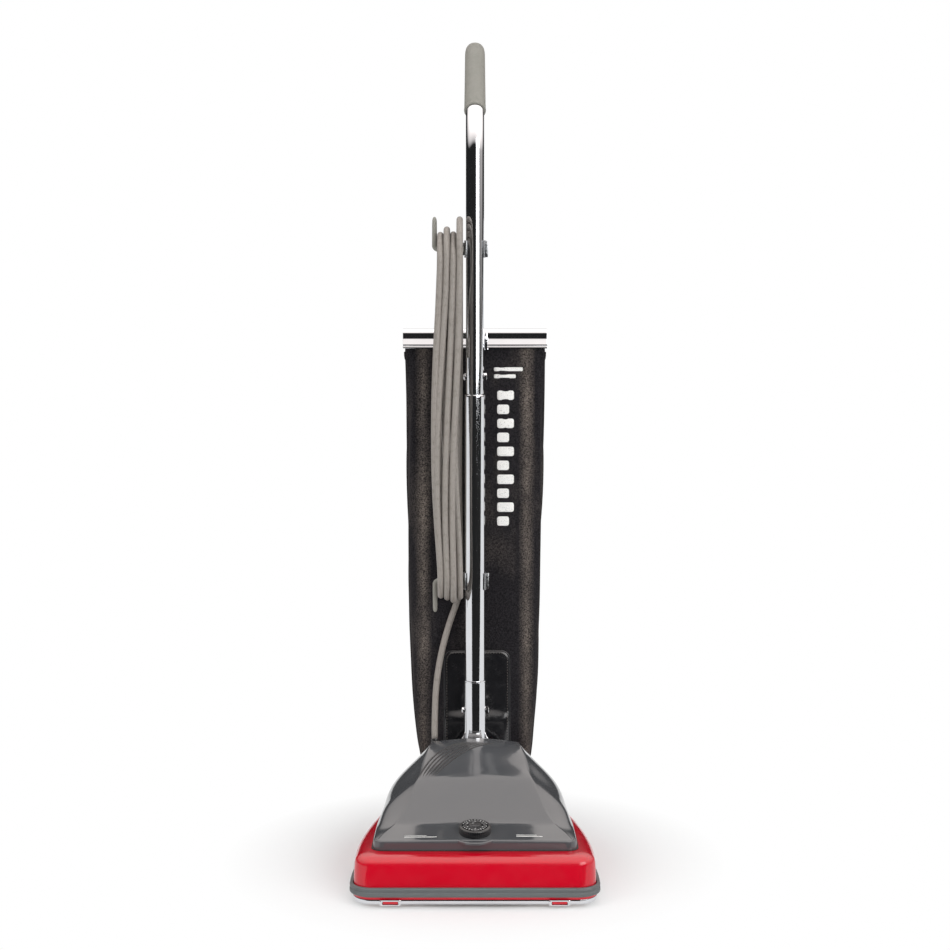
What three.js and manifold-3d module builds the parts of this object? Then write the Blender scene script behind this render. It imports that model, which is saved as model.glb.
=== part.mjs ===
// Commercial upright vacuum cleaner with a cloth shake-out bag.
// Millimetres, +Z up, front of the machine towards -Y, left and right as seen from the front.
// While it is built, y is the distance behind the front of the bumper; the group is shifted at the end.

import * as THREE from "three";
import { mergeVertices } from "three/addons/utils/BufferGeometryUtils.js";
import Module from "manifold-3d";

const wasm = await Module();
wasm.setup();

// ---------------------------------------------------------------- driving dimensions

const GAP = 0.3;
const DEPTH = 441.7;

const BASE = { halfWidth: 170, cornerRadius: 31, sideEndY: 225, rearY: 331, deckZ: 71 };
const BUMPER = { inset: 5, lowZ: 16.3, highZ: 29.3 };
const PLATE = { lowZ: 5, thickness: 1.5, rimZ: 11.7, rearY: 215 };
const MOUTH = { halfWidth: 150, frontY: 9, rearY: 66 };

const BRUSH = { y: 38, z: 27, coreRadius: 17, tipRadius: 25, halfLength: 148.5 };
const MOTOR = { y: 178 };
const BELT = { radius: 2.9, brushRadius: 16.8, motorRadius: 9, motorZ: 22 };

const PIVOT = { y: 243.7, z: 84, halfWidth: 47 };
const LEAN = THREE.MathUtils.degToRad(3);

const FRONT_WHEEL = { x: 75, y: 88, radius: 14, width: 14 };
const REAR_WHEEL = { x: 81, y: 285, radius: 24, width: 17 };
const CARRIAGE = { pivotY: 118, pivotZ: 20, armX: 63 };

const KNOB = { y: 60, z: 88, radius: 22, tilt: THREE.MathUtils.degToRad(8) };
const CAM_RISE = 7;
const LATCH = { x: 114, halfWidth: 10.5, y: 3.1 };

// Along the handle, measured from the pivot.
const SOCKET = { low: 100, high: 171, boltAt: 127, outer: 15.5, inner: 14.6 };
const LOWER_TUBE = { outer: 14.3, inner: 12.8, spigotOuter: 11, spigotInner: 9.6, neckAt: 572, top: 631 };
const UPPER_TUBE = { outer: 12.7, inner: 11.3, low: 580.3, boltAt: 603.8, bendAt: 919.3 };
const BEND = { radius: 73, angle: THREE.MathUtils.degToRad(50) };
const GRIP = { length: 146, outer: 15.3, inner: 13 };
const HOOK = { lowAt: 313.4, highAt: 783, armRadius: 4, fingerX: -56.6, fingerLength: 45 };
const BAG = { low: 118, top: 662, clampLow: 641, clampHigh: 669, clampY: 45, clampLength: 205 };
const CORD_RADIUS = 4.5;

// The cord hangs round both hooks in four columns and two layers; its folds are 3 diameters in radius.
const WINDING = {
  nearX: -16.8, farX: -52.8, bulgeX: -60.5, inner: 5 * CORD_RADIUS, outer: 9 * CORD_RADIUS,
};
WINDING.y = 32.2 - WINDING.outer;
const FOLD_RISE = Math.sqrt((WINDING.inner - HOOK.armRadius - GAP) ** 2 - WINDING.y ** 2);
WINDING.lowAt = HOOK.lowAt + FOLD_RISE;
WINDING.highAt = HOOK.highAt - FOLD_RISE;
const OUTLET = { y: 296, z: 96, outer: 20 };

// ---------------------------------------------------------------- solids

function toSolid(geometry) {
  const bare = geometry.index ? geometry.toNonIndexed() : geometry.clone();
  for (const name of Object.keys(bare.attributes)) {
    if (name !== "position") bare.deleteAttribute(name);
  }
  const merged = mergeVertices(bare, 1e-3);
  const vertProperties = new Float32Array(merged.attributes.position.array);
  const triVerts = new Uint32Array(merged.index.array);
  return new wasm.Manifold(new wasm.Mesh({ numProp: 3, vertProperties, triVerts }));
}

function toGeometry(solid) {
  const mesh = solid.getMesh();
  const geometry = new THREE.BufferGeometry();
  geometry.setAttribute("position", new THREE.BufferAttribute(new Float32Array(mesh.vertProperties), 3));
  geometry.setIndex(new THREE.BufferAttribute(new Uint32Array(mesh.triVerts), 1));
  const flat = geometry.toNonIndexed();
  flat.computeVertexNormals();
  return flat;
}

const join = (first, ...rest) => rest.reduce((sum, next) => sum.add(next), first);
const cut = (first, ...rest) => rest.reduce((left, next) => left.subtract(next), first);

function block(x0, x1, y0, y1, z0, z1) {
  const geometry = new THREE.BoxGeometry(x1 - x0, y1 - y0, z1 - z0);
  return toSolid(geometry.translate((x0 + x1) / 2, (y0 + y1) / 2, (z0 + z1) / 2));
}

function rod(radius, from, to, sides = 16, endRadius = radius) {
  const start = new THREE.Vector3(...from);
  const along = new THREE.Vector3(...to).sub(start);
  const geometry = new THREE.CylinderGeometry(endRadius, radius, along.length(), sides);
  geometry.translate(0, along.length() / 2, 0);
  const turn = new THREE.Quaternion().setFromUnitVectors(
    new THREE.Vector3(0, 1, 0),
    along.clone().normalize(),
  );
  return toSolid(geometry.applyQuaternion(turn).translate(...from));
}

// A turned piece about the Z axis; the profile is a list of [radius, height].
function turned(profile, sides = 24) {
  const points = profile.map(([radius, height]) => new THREE.Vector2(radius, height));
  const geometry = new THREE.LatheGeometry(points, sides).rotateX(Math.PI / 2);
  const solid = toSolid(geometry);
  return solid.volume() > 0 ? solid : toSolid(flipped(geometry));
}

// The same, closed on itself for a hollow piece.
const hollow = (profile, sides) => turned([...profile, profile[0]], sides);

function flipped(geometry) {
  const copy = geometry.toNonIndexed();
  const position = copy.attributes.position;
  const a = new THREE.Vector3();
  const b = new THREE.Vector3();
  for (let i = 0; i < position.count; i += 3) {
    a.fromBufferAttribute(position, i);
    b.fromBufferAttribute(position, i + 1);
    position.setXYZ(i, b.x, b.y, b.z);
    position.setXYZ(i + 1, a.x, a.y, a.z);
  }
  return copy;
}

// A skin through rings of equally many points; its ends are capped, or joined when it closes.
function loft(rings, closed = false) {
  const count = rings[0].length;
  const points = rings.flat();
  const faces = [];
  const last = closed ? rings.length : rings.length - 1;
  for (let r = 0; r < last; r++) {
    const here = r * count;
    const next = ((r + 1) % rings.length) * count;
    for (let i = 0; i < count; i++) {
      const j = (i + 1) % count;
      faces.push(here + i, here + j, next + j, here + i, next + j, next + i);
    }
  }
  if (!closed) {
    for (const [ring, forward] of [[0, false], [rings.length - 1, true]]) {
      const centre = new THREE.Vector3();
      rings[ring].forEach((point) => centre.addScaledVector(point, 1 / count));
      points.push(centre);
      const hub = points.length - 1;
      for (let i = 0; i < count; i++) {
        const a = ring * count + i;
        const b = ring * count + ((i + 1) % count);
        faces.push(...(forward ? [hub, a, b] : [hub, b, a]));
      }
    }
  }
  const geometry = new THREE.BufferGeometry().setFromPoints(points);
  geometry.setIndex(faces);
  const solid = toSolid(geometry);
  return solid.volume() > 0 ? solid : toSolid(flipped(geometry));
}

function placed(solid, position, rotation = [0, 0, 0]) {
  const matrix = new THREE.Matrix4().compose(
    new THREE.Vector3(...position),
    new THREE.Quaternion().setFromEuler(new THREE.Euler(...rotation)),
    new THREE.Vector3(1, 1, 1),
  );
  return toSolid(toGeometry(solid).applyMatrix4(matrix));
}

const alongX = (solid, position) => placed(solid, position, [0, Math.PI / 2, 0]);

function prism(shape, z0, z1, curveSegments = 8) {
  const geometry = new THREE.ExtrudeGeometry(shape, {
    depth: z1 - z0,
    bevelEnabled: false,
    curveSegments,
  });
  return toSolid(geometry.translate(0, 0, z0));
}

// Turns a prism drawn in X and Y so that its drawing lies in Y and Z and its length along X.
function sideways(solid) {
  const turn = new THREE.Matrix4().makeBasis(
    new THREE.Vector3(0, 1, 0), new THREE.Vector3(0, 0, 1), new THREE.Vector3(1, 0, 0));
  return toSolid(toGeometry(solid).applyMatrix4(turn));
}

function sweep(points, radius, steps, sides = 10) {
  const shape = new THREE.Shape();
  for (let i = 0; i < sides; i++) {
    const angle = (2 * Math.PI * i) / sides;
    const place = [radius * Math.cos(angle), radius * Math.sin(angle)];
    if (i === 0) shape.moveTo(...place);
    else shape.lineTo(...place);
  }
  const extrudePath = new THREE.CatmullRomCurve3(points.map((p) => new THREE.Vector3(...p)));
  const geometry = new THREE.ExtrudeGeometry(shape, { steps, extrudePath, bevelEnabled: false });
  const solid = toSolid(geometry);
  return solid.volume() > 0 ? solid : toSolid(flipped(geometry));
}

// ---------------------------------------------------------------- the group

const root = new THREE.Group();
const handle = new THREE.Group();
handle.position.set(0, PIVOT.y, PIVOT.z);
handle.rotation.x = -LEAN;
root.add(handle);
const knobGroup = new THREE.Group();
knobGroup.position.set(0, KNOB.y, KNOB.z);
knobGroup.rotation.x = KNOB.tilt;
root.add(knobGroup);

const FINISH = {
  red: { color: 0xc8102e, roughness: 0.25, metalness: 0 },
  grey: { color: 0x737375, roughness: 0.3, metalness: 0 },
  bumper: { color: 0x66686a, roughness: 0.6, metalness: 0 },
  chrome: { color: 0xd8dadc, roughness: 0.12, metalness: 1 },
  steel: { color: 0x9a9c9e, roughness: 0.35, metalness: 1 },
  aluminium: { color: 0xb8babc, roughness: 0.45, metalness: 1 },
  black: { color: 0x161617, roughness: 0.45, metalness: 0 },
  cloth: { color: 0x1c1a19, roughness: 0.9, metalness: 0 },
  rubber: { color: 0x222222, roughness: 0.8, metalness: 0 },
  cord: { color: 0x8d8a84, roughness: 0.5, metalness: 0 },
  vinyl: { color: 0x82827b, roughness: 0.7, metalness: 0 },
  wood: { color: 0xb98d58, roughness: 0.6, metalness: 0 },
  bristle: { color: 0x1a1a1a, roughness: 0.9, metalness: 0 },
  copper: { color: 0xb06a3a, roughness: 0.4, metalness: 1 },
  carbon: { color: 0x2a2a2c, roughness: 0.8, metalness: 0 },
};

function add(name, solid, finish, group = root) {
  const mesh = new THREE.Mesh(toGeometry(solid), new THREE.MeshStandardMaterial(FINISH[finish]));
  mesh.name = name;
  group.add(mesh);
}

// ---------------------------------------------------------------- base

// Plan outline of the base, moved inwards by inset.
function baseOutline(inset, z) {
  const w = BASE.halfWidth - inset;
  const r = Math.max(BASE.cornerRadius - inset, 8);
  const rear = BASE.rearY - inset;
  const point = (x, y) => new THREE.Vector2(x, y);
  const cornerStart = point(w - r, inset);
  const sideEnd = point(w - 27, BASE.sideEndY);
  const corner = new THREE.EllipseCurve(w - r, inset + r, r, r, -Math.PI / 2, 0);
  const flank = new THREE.CubicBezierCurve(
    point(w, inset + r), point(w, 105), point(w - 14, 170), sideEnd);
  const back = new THREE.CubicBezierCurve(
    sideEnd, point(w - 40, BASE.sideEndY + 62), point(w - 66, rear), point(w - 116, rear));
  const right = [
    point(0, inset),
    cornerStart,
    ...corner.getPoints(5).slice(1),
    ...flank.getPoints(4).slice(1),
    ...back.getPoints(5).slice(1),
    point(0, rear),
  ];
  const left = right.slice(1, -1).reverse();
  return [
    ...right.map((p) => new THREE.Vector3(p.x, p.y, z)),
    ...left.map((p) => new THREE.Vector3(-p.x, p.y, z)),
  ];
}

const baseLoft = (levels) => loft(levels.map(([z, inset]) => baseOutline(inset, z)));

function baseHousing() {
  const shell = baseLoft([[12, 5], [61, 7.5], [65, 9], [68.5, 14], [BASE.deckZ, 26]]);
  const cavity = baseLoft([[10, 8.5], [60, 11], [66.5, 20]]);
  const rearFloor = baseLoft([[12, 8], [15, 8]]);
  const rearOnly = block(-200, 200, 219, 400, 0, 100);
  let body = join(cut(shell, cavity), rearFloor.intersect(rearOnly));

  const partition = cut(block(-156, 156, 68, 71, 12, 68), block(-42, 42, 60, 80, 0, 66.5));
  body = join(body, partition);
  for (const side of [-1, 1]) {
    const tunnel = side < 0 ? [-44.5, -41.5] : [41.5, 44.5];
    body = join(body, block(...tunnel, 70, 104, 12, 44));
    const carriageLug = side < 0 ? [-59.5, -56] : [56, 59.5];
    const axleRibs = [[64.5, 67.5], [95, 98]];
    const pivotLug = side < 0 ? [-56, -50.6] : [50.6, 56];
    body = join(body, block(...carriageLug, 112, 124, 12, 68));
    for (const [near, far] of axleRibs) {
      const rib = side < 0 ? [-far, -near] : [near, far];
      const reach = REAR_WHEEL.y;
      body = join(body, block(...rib, reach - 8, reach + 8, 13, 36));
      body = cut(body, block(side * 81 - 11.5, side * 81 + 11.5, reach - 27, reach + 27, 0, 50));
    }
    const ear = join(
      rod(10, [pivotLug[0], PIVOT.y, PIVOT.z], [pivotLug[1], PIVOT.y, PIVOT.z], 14),
      block(...pivotLug, PIVOT.y - 10, PIVOT.y + 10, 68, PIVOT.z),
    );
    body = join(body, ear);
  }
  const deckHole = (y, radius) => rod(radius, [0, y, 55], [0, y, 90], 20);
  return cut(
    body,
    deckHole(MOTOR.y, 49.5),
    deckHole(OUTLET.y - 4, 24),
    placed(rod(7.6, [0, 0, -50], [0, 0, 10], 14), [0, KNOB.y, KNOB.z], [KNOB.tilt, 0, 0]),
    rod(3.4, [-110, REAR_WHEEL.y, REAR_WHEEL.radius], [110, REAR_WHEEL.y, REAR_WHEEL.radius], 12),
    rod(3.4, [-70, CARRIAGE.pivotY, CARRIAGE.pivotZ], [70, CARRIAGE.pivotY, CARRIAGE.pivotZ], 12),
    rod(4.3, [-62, PIVOT.y, PIVOT.z], [62, PIVOT.y, PIVOT.z], 12),
  );
}

function bumper() {
  const profile = [
    [16.3, 1.4], [17.6, 0], [22.4, 0], [23.1, 1.2], [24.4, 1.2], [25.1, 0.3], [28, 0.3], [29.3, 1.6],
  ];
  const outer = profile.map(([z, inset]) => baseOutline(inset, z));
  const inner = [BUMPER.highZ, BUMPER.lowZ].map((z) => baseOutline(BUMPER.inset - GAP, z));
  return cut(loft([...outer, ...inner], true), block(-200, 200, 250, 400, 0, 100));
}

function bottomPlate() {
  const low = PLATE.lowZ;
  const tray = baseLoft([[low, 7], [low + 1.6, 4.9], [PLATE.rimZ, 4.9]]);
  const inside = baseLoft([[low + PLATE.thickness, 6.9], [PLATE.rimZ + 5, 6.4]]);
  let plate = cut(tray, inside, block(-200, 200, PLATE.rearY, 400, 0, 100));
  const mouth = block(-MOUTH.halfWidth, MOUTH.halfWidth, MOUTH.frontY, MOUTH.rearY, 0, 20);
  plate = cut(plate, mouth);
  for (const x of [-75, 0, 75]) {
    plate = join(plate, block(x - 1.5, x + 1.5, MOUTH.frontY - 1, MOUTH.rearY + 1, low, low + 1.5));
  }
  for (const side of [-1, 1]) {
    const x = side * FRONT_WHEEL.x;
    plate = cut(plate, block(x - 9.5, x + 9.5, FRONT_WHEEL.y - 16, FRONT_WHEEL.y + 16, 0, 10));
    const centre = side * LATCH.x;
    const frame = block(centre - 14, centre + 14, 1.5, 5.2, low, PLATE.rimZ);
    const window = block(centre - 11, centre + 11, 0, 4.75, 6.3, 10.6);
    plate = join(plate, cut(frame, window));
  }
  return plate;
}

function plateLatch(side) {
  const x = side * LATCH.x;
  return block(x - LATCH.halfWidth, x + LATCH.halfWidth, LATCH.y - 0.9, LATCH.y + 0.9, 6.9, 10.2);
}

// ---------------------------------------------------------------- motor hood

// Height of the hood's creases, half-widths of its creases and of its foot, along y.
const HOOD_STATIONS = [
  [35, 84.6, 134.5, 138], [62, 89.5, 123, 137.5], [80, 94, 111, 137], [95, 107, 98, 136.5],
  [128, 143.5, 79, 135], [150, 153.5, 72.5, 133], [197, 173, 64, 127], [213, 174.5, 60.5, 124],
  [224, 171, 56, 121], [229.5, 163, 50, 118],
];

// How much the hood's top arches between its creases.
const hoodArch = (y) => 1.2 + 3.4 * THREE.MathUtils.smoothstep(y, 95, 190);

// The flank's two inner points: how far up it they are, and how far it swells there for its height.
const FLANK = [[0.32, 0.135], [0.66, 0.09]];

function hoodSection([y, crown, crease, foot], inset, lowZ) {
  const top = crown - inset;
  const wide = foot - inset;
  const shoulder = crease - inset * 0.6;
  const lip = Math.min(84.6 - inset, top - 0.4);
  const half = [
    [wide, lowZ],
    [wide, lip],
    ...FLANK.map(([along, swell]) => [
      THREE.MathUtils.lerp(wide, shoulder, along) + swell * (top - lip),
      THREE.MathUtils.lerp(lip, top, along),
    ]),
    [shoulder, top - 1.2],
    [shoulder * 0.5, top + hoodArch(y) * 0.7],
  ];
  const right = half.map(([x, z]) => new THREE.Vector3(x, y, z));
  const middle = [new THREE.Vector3(0, y, top + hoodArch(y))];
  const left = half.map(([x, z]) => new THREE.Vector3(-x, y, z)).reverse();
  return [...right, ...middle, ...left];
}

function motorHood() {
  const lowZ = BASE.deckZ + GAP;
  const outer = loft(HOOD_STATIONS.map((station) => hoodSection(station, 0, lowZ)));
  const wall = 2.6;
  const inner = HOOD_STATIONS.filter((_, i) => i % 2 === 0 || i > 8).map(([y, crown, crease, foot]) => {
    const depth = THREE.MathUtils.mapLinear(y, 35, 229.5, 35 + wall, 229.5 - wall);
    return hoodSection([depth, crown, crease, foot], wall, lowZ - 5);
  });
  const tilted = (solid) => placed(solid, [0, KNOB.y, KNOB.z], [KNOB.tilt, 0, 0]);
  return cut(
    outer,
    loft(inner),
    tilted(rod(23, [0, 0, -12], [0, 0, 30], 24)),
    tilted(rod(31, [0, 0, 0.2], [0, 0, 30], 24)),
    rod(3.2, [-90, 223, 95], [-90, 240, 95], 8),
    rod(3.2, [90, 223, 95], [90, 240, 95], 8),
    rod(5.3, [-57, 220, 143], [-57, 240, 143], 10),
  );
}

function hoodScrew(side) {
  const x = side * 90;
  return join(rod(2.9, [x, 220, 95], [x, 231, 95], 12), rod(5, [x, 230.4, 95], [x, 233.4, 95], 12));
}

// ---------------------------------------------------------------- height knob and front wheels

function heightKnob() {
  const grip = turned([[0, 0.5], [21, 0.5], [22, 2], [22, 10], [20.6, 12.4], [0, 12.4]], 24);
  const stem = rod(7, [0, 0, -27], [0, 0, 1], 14);
  // The spiral cam: sectors that reach down less and less as the knob turns.
  const sectors = [];
  const count = 8;
  const step = (2 * Math.PI) / count;
  for (let i = 0; i < count; i++) {
    const from = step * (i - 0.5);
    const turn = (2 * Math.PI + Math.PI / 2 - step * i) % (2 * Math.PI);
    const shape = new THREE.Shape();
    shape.moveTo(0, 0);
    shape.absarc(0, 0, 17.5, from, from + step + 0.01, false);
    shape.lineTo(0, 0);
    sectors.push(prism(shape, -34.6 + (CAM_RISE * turn) / (2 * Math.PI), -26, 3));
  }
  return join(grip, stem, ...sectors);
}

function wheelCarriage() {
  const { pivotY, pivotZ, armX } = CARRIAGE;
  const bridge = block(-armX - 2, armX + 2, 86, 96, 48, 51);
  const tongue = block(-7, 7, 78, 87, 48, 54);
  let body = join(bridge, tongue);
  for (const side of [-1, 1]) {
    const xs = side < 0 ? [-armX - 2, -armX + 0.5] : [armX - 0.5, armX + 2];
    const riser = block(...xs, 86, 96, 12, 50);
    const lever = block(...xs, 88, pivotY + 4, 14, 24);
    const axle = [side * FRONT_WHEEL.x + side * 8, FRONT_WHEEL.y, FRONT_WHEEL.radius];
    const stub = rod(3, [side * armX, FRONT_WHEEL.y, FRONT_WHEEL.radius], axle, 14);
    const boss = rod(5, [xs[0], FRONT_WHEEL.y, FRONT_WHEEL.radius],
      [xs[1], FRONT_WHEEL.y, FRONT_WHEEL.radius], 16);
    const pin = rod(3, [side * 56.5, pivotY, pivotZ], [side * armX, pivotY, pivotZ], 14);
    body = join(body, riser, lever, boss, stub, pin);
  }
  return body;
}

function wheel({ x, y, radius, width }, side, bore) {
  const sides = 16;
  const tread = radius / Math.cos(Math.PI / sides);
  const half = width / 2;
  const profile = [
    [bore, -half], [radius * 0.45, -half], [radius * 0.5, -half + 2], [radius * 0.75, -half + 2],
    [radius * 0.8, -half], [tread, -half], [tread, half], [bore, half],
  ];
  const turn = placed(hollow(profile, sides), [0, 0, 0], [0, 0, Math.PI / sides]);
  return alongX(turn, [side * x, y, radius]);
}

// ---------------------------------------------------------------- brush roll and belt

function brushDowel() {
  const { coreRadius: r, halfLength: h } = BRUSH;
  const profile = [
    [0, -h - 6], [4, -h - 6], [4, -h], [r, -h], [r, -7], [13.2, -5], [13.2, 5], [r, 7], [r, h],
    [4, h], [4, h + 6], [0, h + 6],
  ];
  return alongX(turned(profile, 18), [0, BRUSH.y, BRUSH.z]);
}

function bristleStrip(side) {
  const from = 11;
  const to = BRUSH.halfLength - 3;
  const stops = [from, 24, 37, 50, 63, 69.5, 70.5, 79.5, 80.5, 93, 106, 119, 132, to];
  const rings = stops.map((x) => {
    const tip = Math.abs(x - 75) < 5 ? 19.6 : BRUSH.tipRadius;
    const angle = Math.PI * (0.9 + (1.5 * (x - from)) / (to - from));
    const radial = [Math.cos(angle), Math.sin(angle)];
    const across = [-radial[1], radial[0]];
    const corners = [[17.5, -2.5], [tip, -2], [tip, 2], [17.5, 2.5]];
    return corners.map(([out, off]) => new THREE.Vector3(
      side * x,
      BRUSH.y + radial[0] * out + across[0] * off,
      BRUSH.z + radial[1] * out + across[1] * off,
    ));
  });
  return loft(rings);
}

function brushEnd(side) {
  const xs = side < 0 ? [-158.5, -151] : [151, 158.5];
  const body = block(...xs, BRUSH.y - 10, BRUSH.y + 10, BRUSH.z - 10, BRUSH.z + 10);
  return cut(body, rod(4.4, [side * 150, BRUSH.y, BRUSH.z], [side * 156, BRUSH.y, BRUSH.z], 20));
}

// A round belt, twisted a quarter turn between the brush roll and the motor pulley.
function belt() {
  const points = [];
  const arc = (count, from, to, place) => {
    for (let i = 0; i <= count; i++) points.push(place(from + ((to - from) * i) / count));
  };
  const half = Math.PI / 2;
  arc(6, half, half + Math.PI, (angle) => new THREE.Vector3(
    0, BRUSH.y + BELT.brushRadius * Math.cos(angle), BRUSH.z + BELT.brushRadius * Math.sin(angle)));
  points.push(new THREE.Vector3(1.5, 80, 12.8), new THREE.Vector3(5.5, 130, 18.4));
  arc(6, 0, Math.PI, (angle) => new THREE.Vector3(
    BELT.motorRadius * Math.cos(angle), MOTOR.y + BELT.motorRadius * Math.sin(angle), BELT.motorZ));
  points.push(new THREE.Vector3(-5.5, 130, 30), new THREE.Vector3(-1.5, 80, 38.2));
  const curve = new THREE.CatmullRomCurve3(points, true, "centripetal");
  const steps = 36;
  const sides = 6;
  const frames = curve.computeFrenetFrames(steps, true);
  const rings = [];
  for (let i = 0; i < steps; i++) {
    const centre = curve.getPointAt(i / steps);
    const ring = [];
    for (let k = 0; k < sides; k++) {
      const angle = (2 * Math.PI * k) / sides;
      ring.push(centre.clone()
        .addScaledVector(frames.normals[i], BELT.radius * Math.cos(angle))
        .addScaledVector(frames.binormals[i], BELT.radius * Math.sin(angle)));
    }
    rings.push(ring);
  }
  return loft(rings, true);
}

// ---------------------------------------------------------------- motor, fan and exhaust

const atMotor = (solid) => placed(solid, [0, MOTOR.y, 0]);

function fanCase() {
  const bowl = hollow([
    [20, 36], [64, 36], [71, 41], [71, 60], [68.5, 60], [68.5, 42], [63, 38.5], [20, 38.5],
  ], 20);
  const mouth = block(-15, 15, 60, 80, 42.5, 57.5);
  return atMotor(cut(bowl, mouth));
}

function suctionFan() {
  const disc = hollow([[4.4, 40], [9, 40], [9, 51.5], [63, 54], [63, 56], [4.4, 56]], 18);
  const blades = [];
  for (let i = 0; i < 6; i++) {
    const shape = new THREE.Shape();
    shape.moveTo(8, -1);
    shape.quadraticCurveTo(36, -3, 60, 14);
    shape.lineTo(59, 16);
    shape.quadraticCurveTo(36, 0, 8, 1);
    shape.closePath();
    blades.push(placed(prism(shape, 43, 54.5, 3), [0, 0, 0], [0, 0, (Math.PI * i) / 3]));
  }
  return atMotor(join(disc, ...blades));
}

function motorBracket() {
  return atMotor(hollow([
    [9.4, 60.4], [68, 60.4], [68, 62.6], [45, 62.6], [45, 65], [13, 65], [13, 67.5], [9.4, 67.5],
  ], 20));
}

function motorCover() {
  const profile = [
    [48, 65.4], [48, 118], [38, 132], [16, 140], [15, 149], [0, 149], [0, 146.5], [11.4, 146.5],
    [11.4, 137.5], [35.5, 129.5], [45.6, 117], [45.6, 65.4],
  ];
  const cover = hollow(profile, 20);
  const vents = [];
  for (let i = 0; i < 4; i++) {
    const angle = (Math.PI * (i + 0.5)) / 2;
    const vent = block(40, 60, -5, 5, 69, 75);
    vents.push(placed(vent, [0, 0, 0], [0, 0, angle]));
  }
  return atMotor(cut(cover, ...vents));
}

function armature() {
  return atMotor(turned([
    [0, 14], [4.2, 14], [5, 15], [5, 29], [4, 31], [4, 76], [23, 76], [23, 114], [12, 114],
    [12, 131], [4, 131], [4, 144], [0, 144],
  ], 16));
}

function stator() {
  const ring = hollow([[24.2, 80], [44.8, 80], [44.8, 112], [24.2, 112]], 24);
  return atMotor(ring);
}

function coolingFan() {
  const disc = hollow([[4.4, 69], [34, 69], [34, 70.5], [9, 70.5], [9, 75], [4.4, 75]], 16);
  const blades = [];
  for (let i = 0; i < 6; i++) {
    blades.push(placed(block(8, 33, -0.7, 0.7, 70, 75), [0, 0, 0], [0, 0, (Math.PI * i) / 3]));
  }
  return atMotor(join(disc, ...blades));
}

const bearing = (bore, outer, low, high) => atMotor(
  hollow([[bore, low], [outer, low], [outer, high], [bore, high]], 12));

function carbonBrush(side) {
  const xs = side < 0 ? [-30, -12.6] : [12.6, 30];
  return block(...xs, MOTOR.y - 4, MOTOR.y + 4, 119, 127);
}

function exhaustDuct() {
  const path = [[0, 250.6, 49], [0, 268, 49.5], [0, 285, 55], [0, 295, 68], [0, OUTLET.y, 84]];
  const outer = sweep(path, 16.5, 6, 12);
  const inner = sweep([[0, 249, 49], ...path.slice(1), [0, OUTLET.y, 90]], 14, 6, 12);
  const spout = placed(
    turned([[0, 82], [16.5, 82], [19.6, 88], [19.6, OUTLET.z + 12], [0, OUTLET.z + 12]], 14),
    [0, OUTLET.y, 0]);
  const mouth = placed(
    turned([[0, 80], [14, 82], [17, 88], [17, OUTLET.z + 14], [0, OUTLET.z + 14]], 14),
    [0, OUTLET.y, 0]);
  return cut(join(outer, spout), inner, mouth);
}

// ---------------------------------------------------------------- handle

function handleFork() {
  const { halfWidth: half } = PIVOT;
  const shape = new THREE.Shape();
  shape.moveTo(half + 3, -9);
  shape.lineTo(half + 3, 40);
  shape.bezierCurveTo(half + 3, 76, 18, 76, 15.2, 96);
  shape.lineTo(-15.2, 96);
  shape.bezierCurveTo(-18, 76, -half - 3, 76, -half - 3, 40);
  shape.lineTo(-half - 3, -9);
  shape.lineTo(-half + 3, -9);
  shape.lineTo(-half + 3, 40);
  shape.bezierCurveTo(-half + 4, 64, -26, 76, 0, 81);
  shape.bezierCurveTo(26, 76, half - 4, 64, half - 3, 40);
  shape.lineTo(half - 3, -9);
  const yoke = placed(prism(shape, -8, 8, 6), [0, 0, 0], [Math.PI / 2, 0, 0]);
  const socket = turned([
    [0, 84], [12, 84], [SOCKET.outer, 98], [SOCKET.outer, SOCKET.high], [0, SOCKET.high],
  ], 18);
  const bore = rod(SOCKET.inner, [0, 0, SOCKET.low], [0, 0, SOCKET.high + 5], 18);
  const { boltAt } = SOCKET;
  return cut(
    join(yoke, socket),
    bore,
    rod(4.3, [-60, 0, 0], [60, 0, 0]),
    rod(3, [-30, 0, boltAt], [30, 0, boltAt]),
  );
}

function lowerTube() {
  const t = LOWER_TUBE;
  const tube = hollow([
    [t.outer, SOCKET.low + GAP], [t.outer, t.neckAt], [t.spigotOuter, t.neckAt + 7],
    [t.spigotOuter, t.top], [t.spigotInner, t.top], [t.spigotInner, t.neckAt + 5],
    [t.inner, t.neckAt - 2], [t.inner, SOCKET.low + GAP],
  ], 16);
  return cut(tube, acrossHole(SOCKET.boltAt), acrossHole(UPPER_TUBE.boltAt));
}

const acrossHole = (height) => rod(3, [-30, 0, height], [30, 0, height], 10);

// Centre line of the upper tube: straight, the bend, then on into the grip.
function upperStations(insideGrip) {
  const stations = [[UPPER_TUBE.low, 0], [UPPER_TUBE.bendAt, 0]].map(([z]) => ({ y: 0, z, turn: 0 }));
  const steps = 6;
  for (let i = 1; i <= steps; i++) {
    const turn = (BEND.angle * i) / steps;
    stations.push({
      y: BEND.radius * (1 - Math.cos(turn)),
      z: UPPER_TUBE.bendAt + BEND.radius * Math.sin(turn),
      turn,
    });
  }
  const end = stations[stations.length - 1];
  stations.push({
    y: end.y + insideGrip * Math.sin(BEND.angle),
    z: end.z + insideGrip * Math.cos(BEND.angle),
    turn: BEND.angle,
  });
  return { stations, end };
}

function ringAt({ y, z, turn }, radius, sides) {
  const ring = [];
  for (let i = 0; i < sides; i++) {
    const angle = (2 * Math.PI * (i + 0.5)) / sides;
    const off = radius * Math.sin(angle);
    const x = radius * Math.cos(angle);
    ring.push(new THREE.Vector3(x, y + off * Math.cos(turn), z - off * Math.sin(turn)));
  }
  return ring;
}

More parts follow.
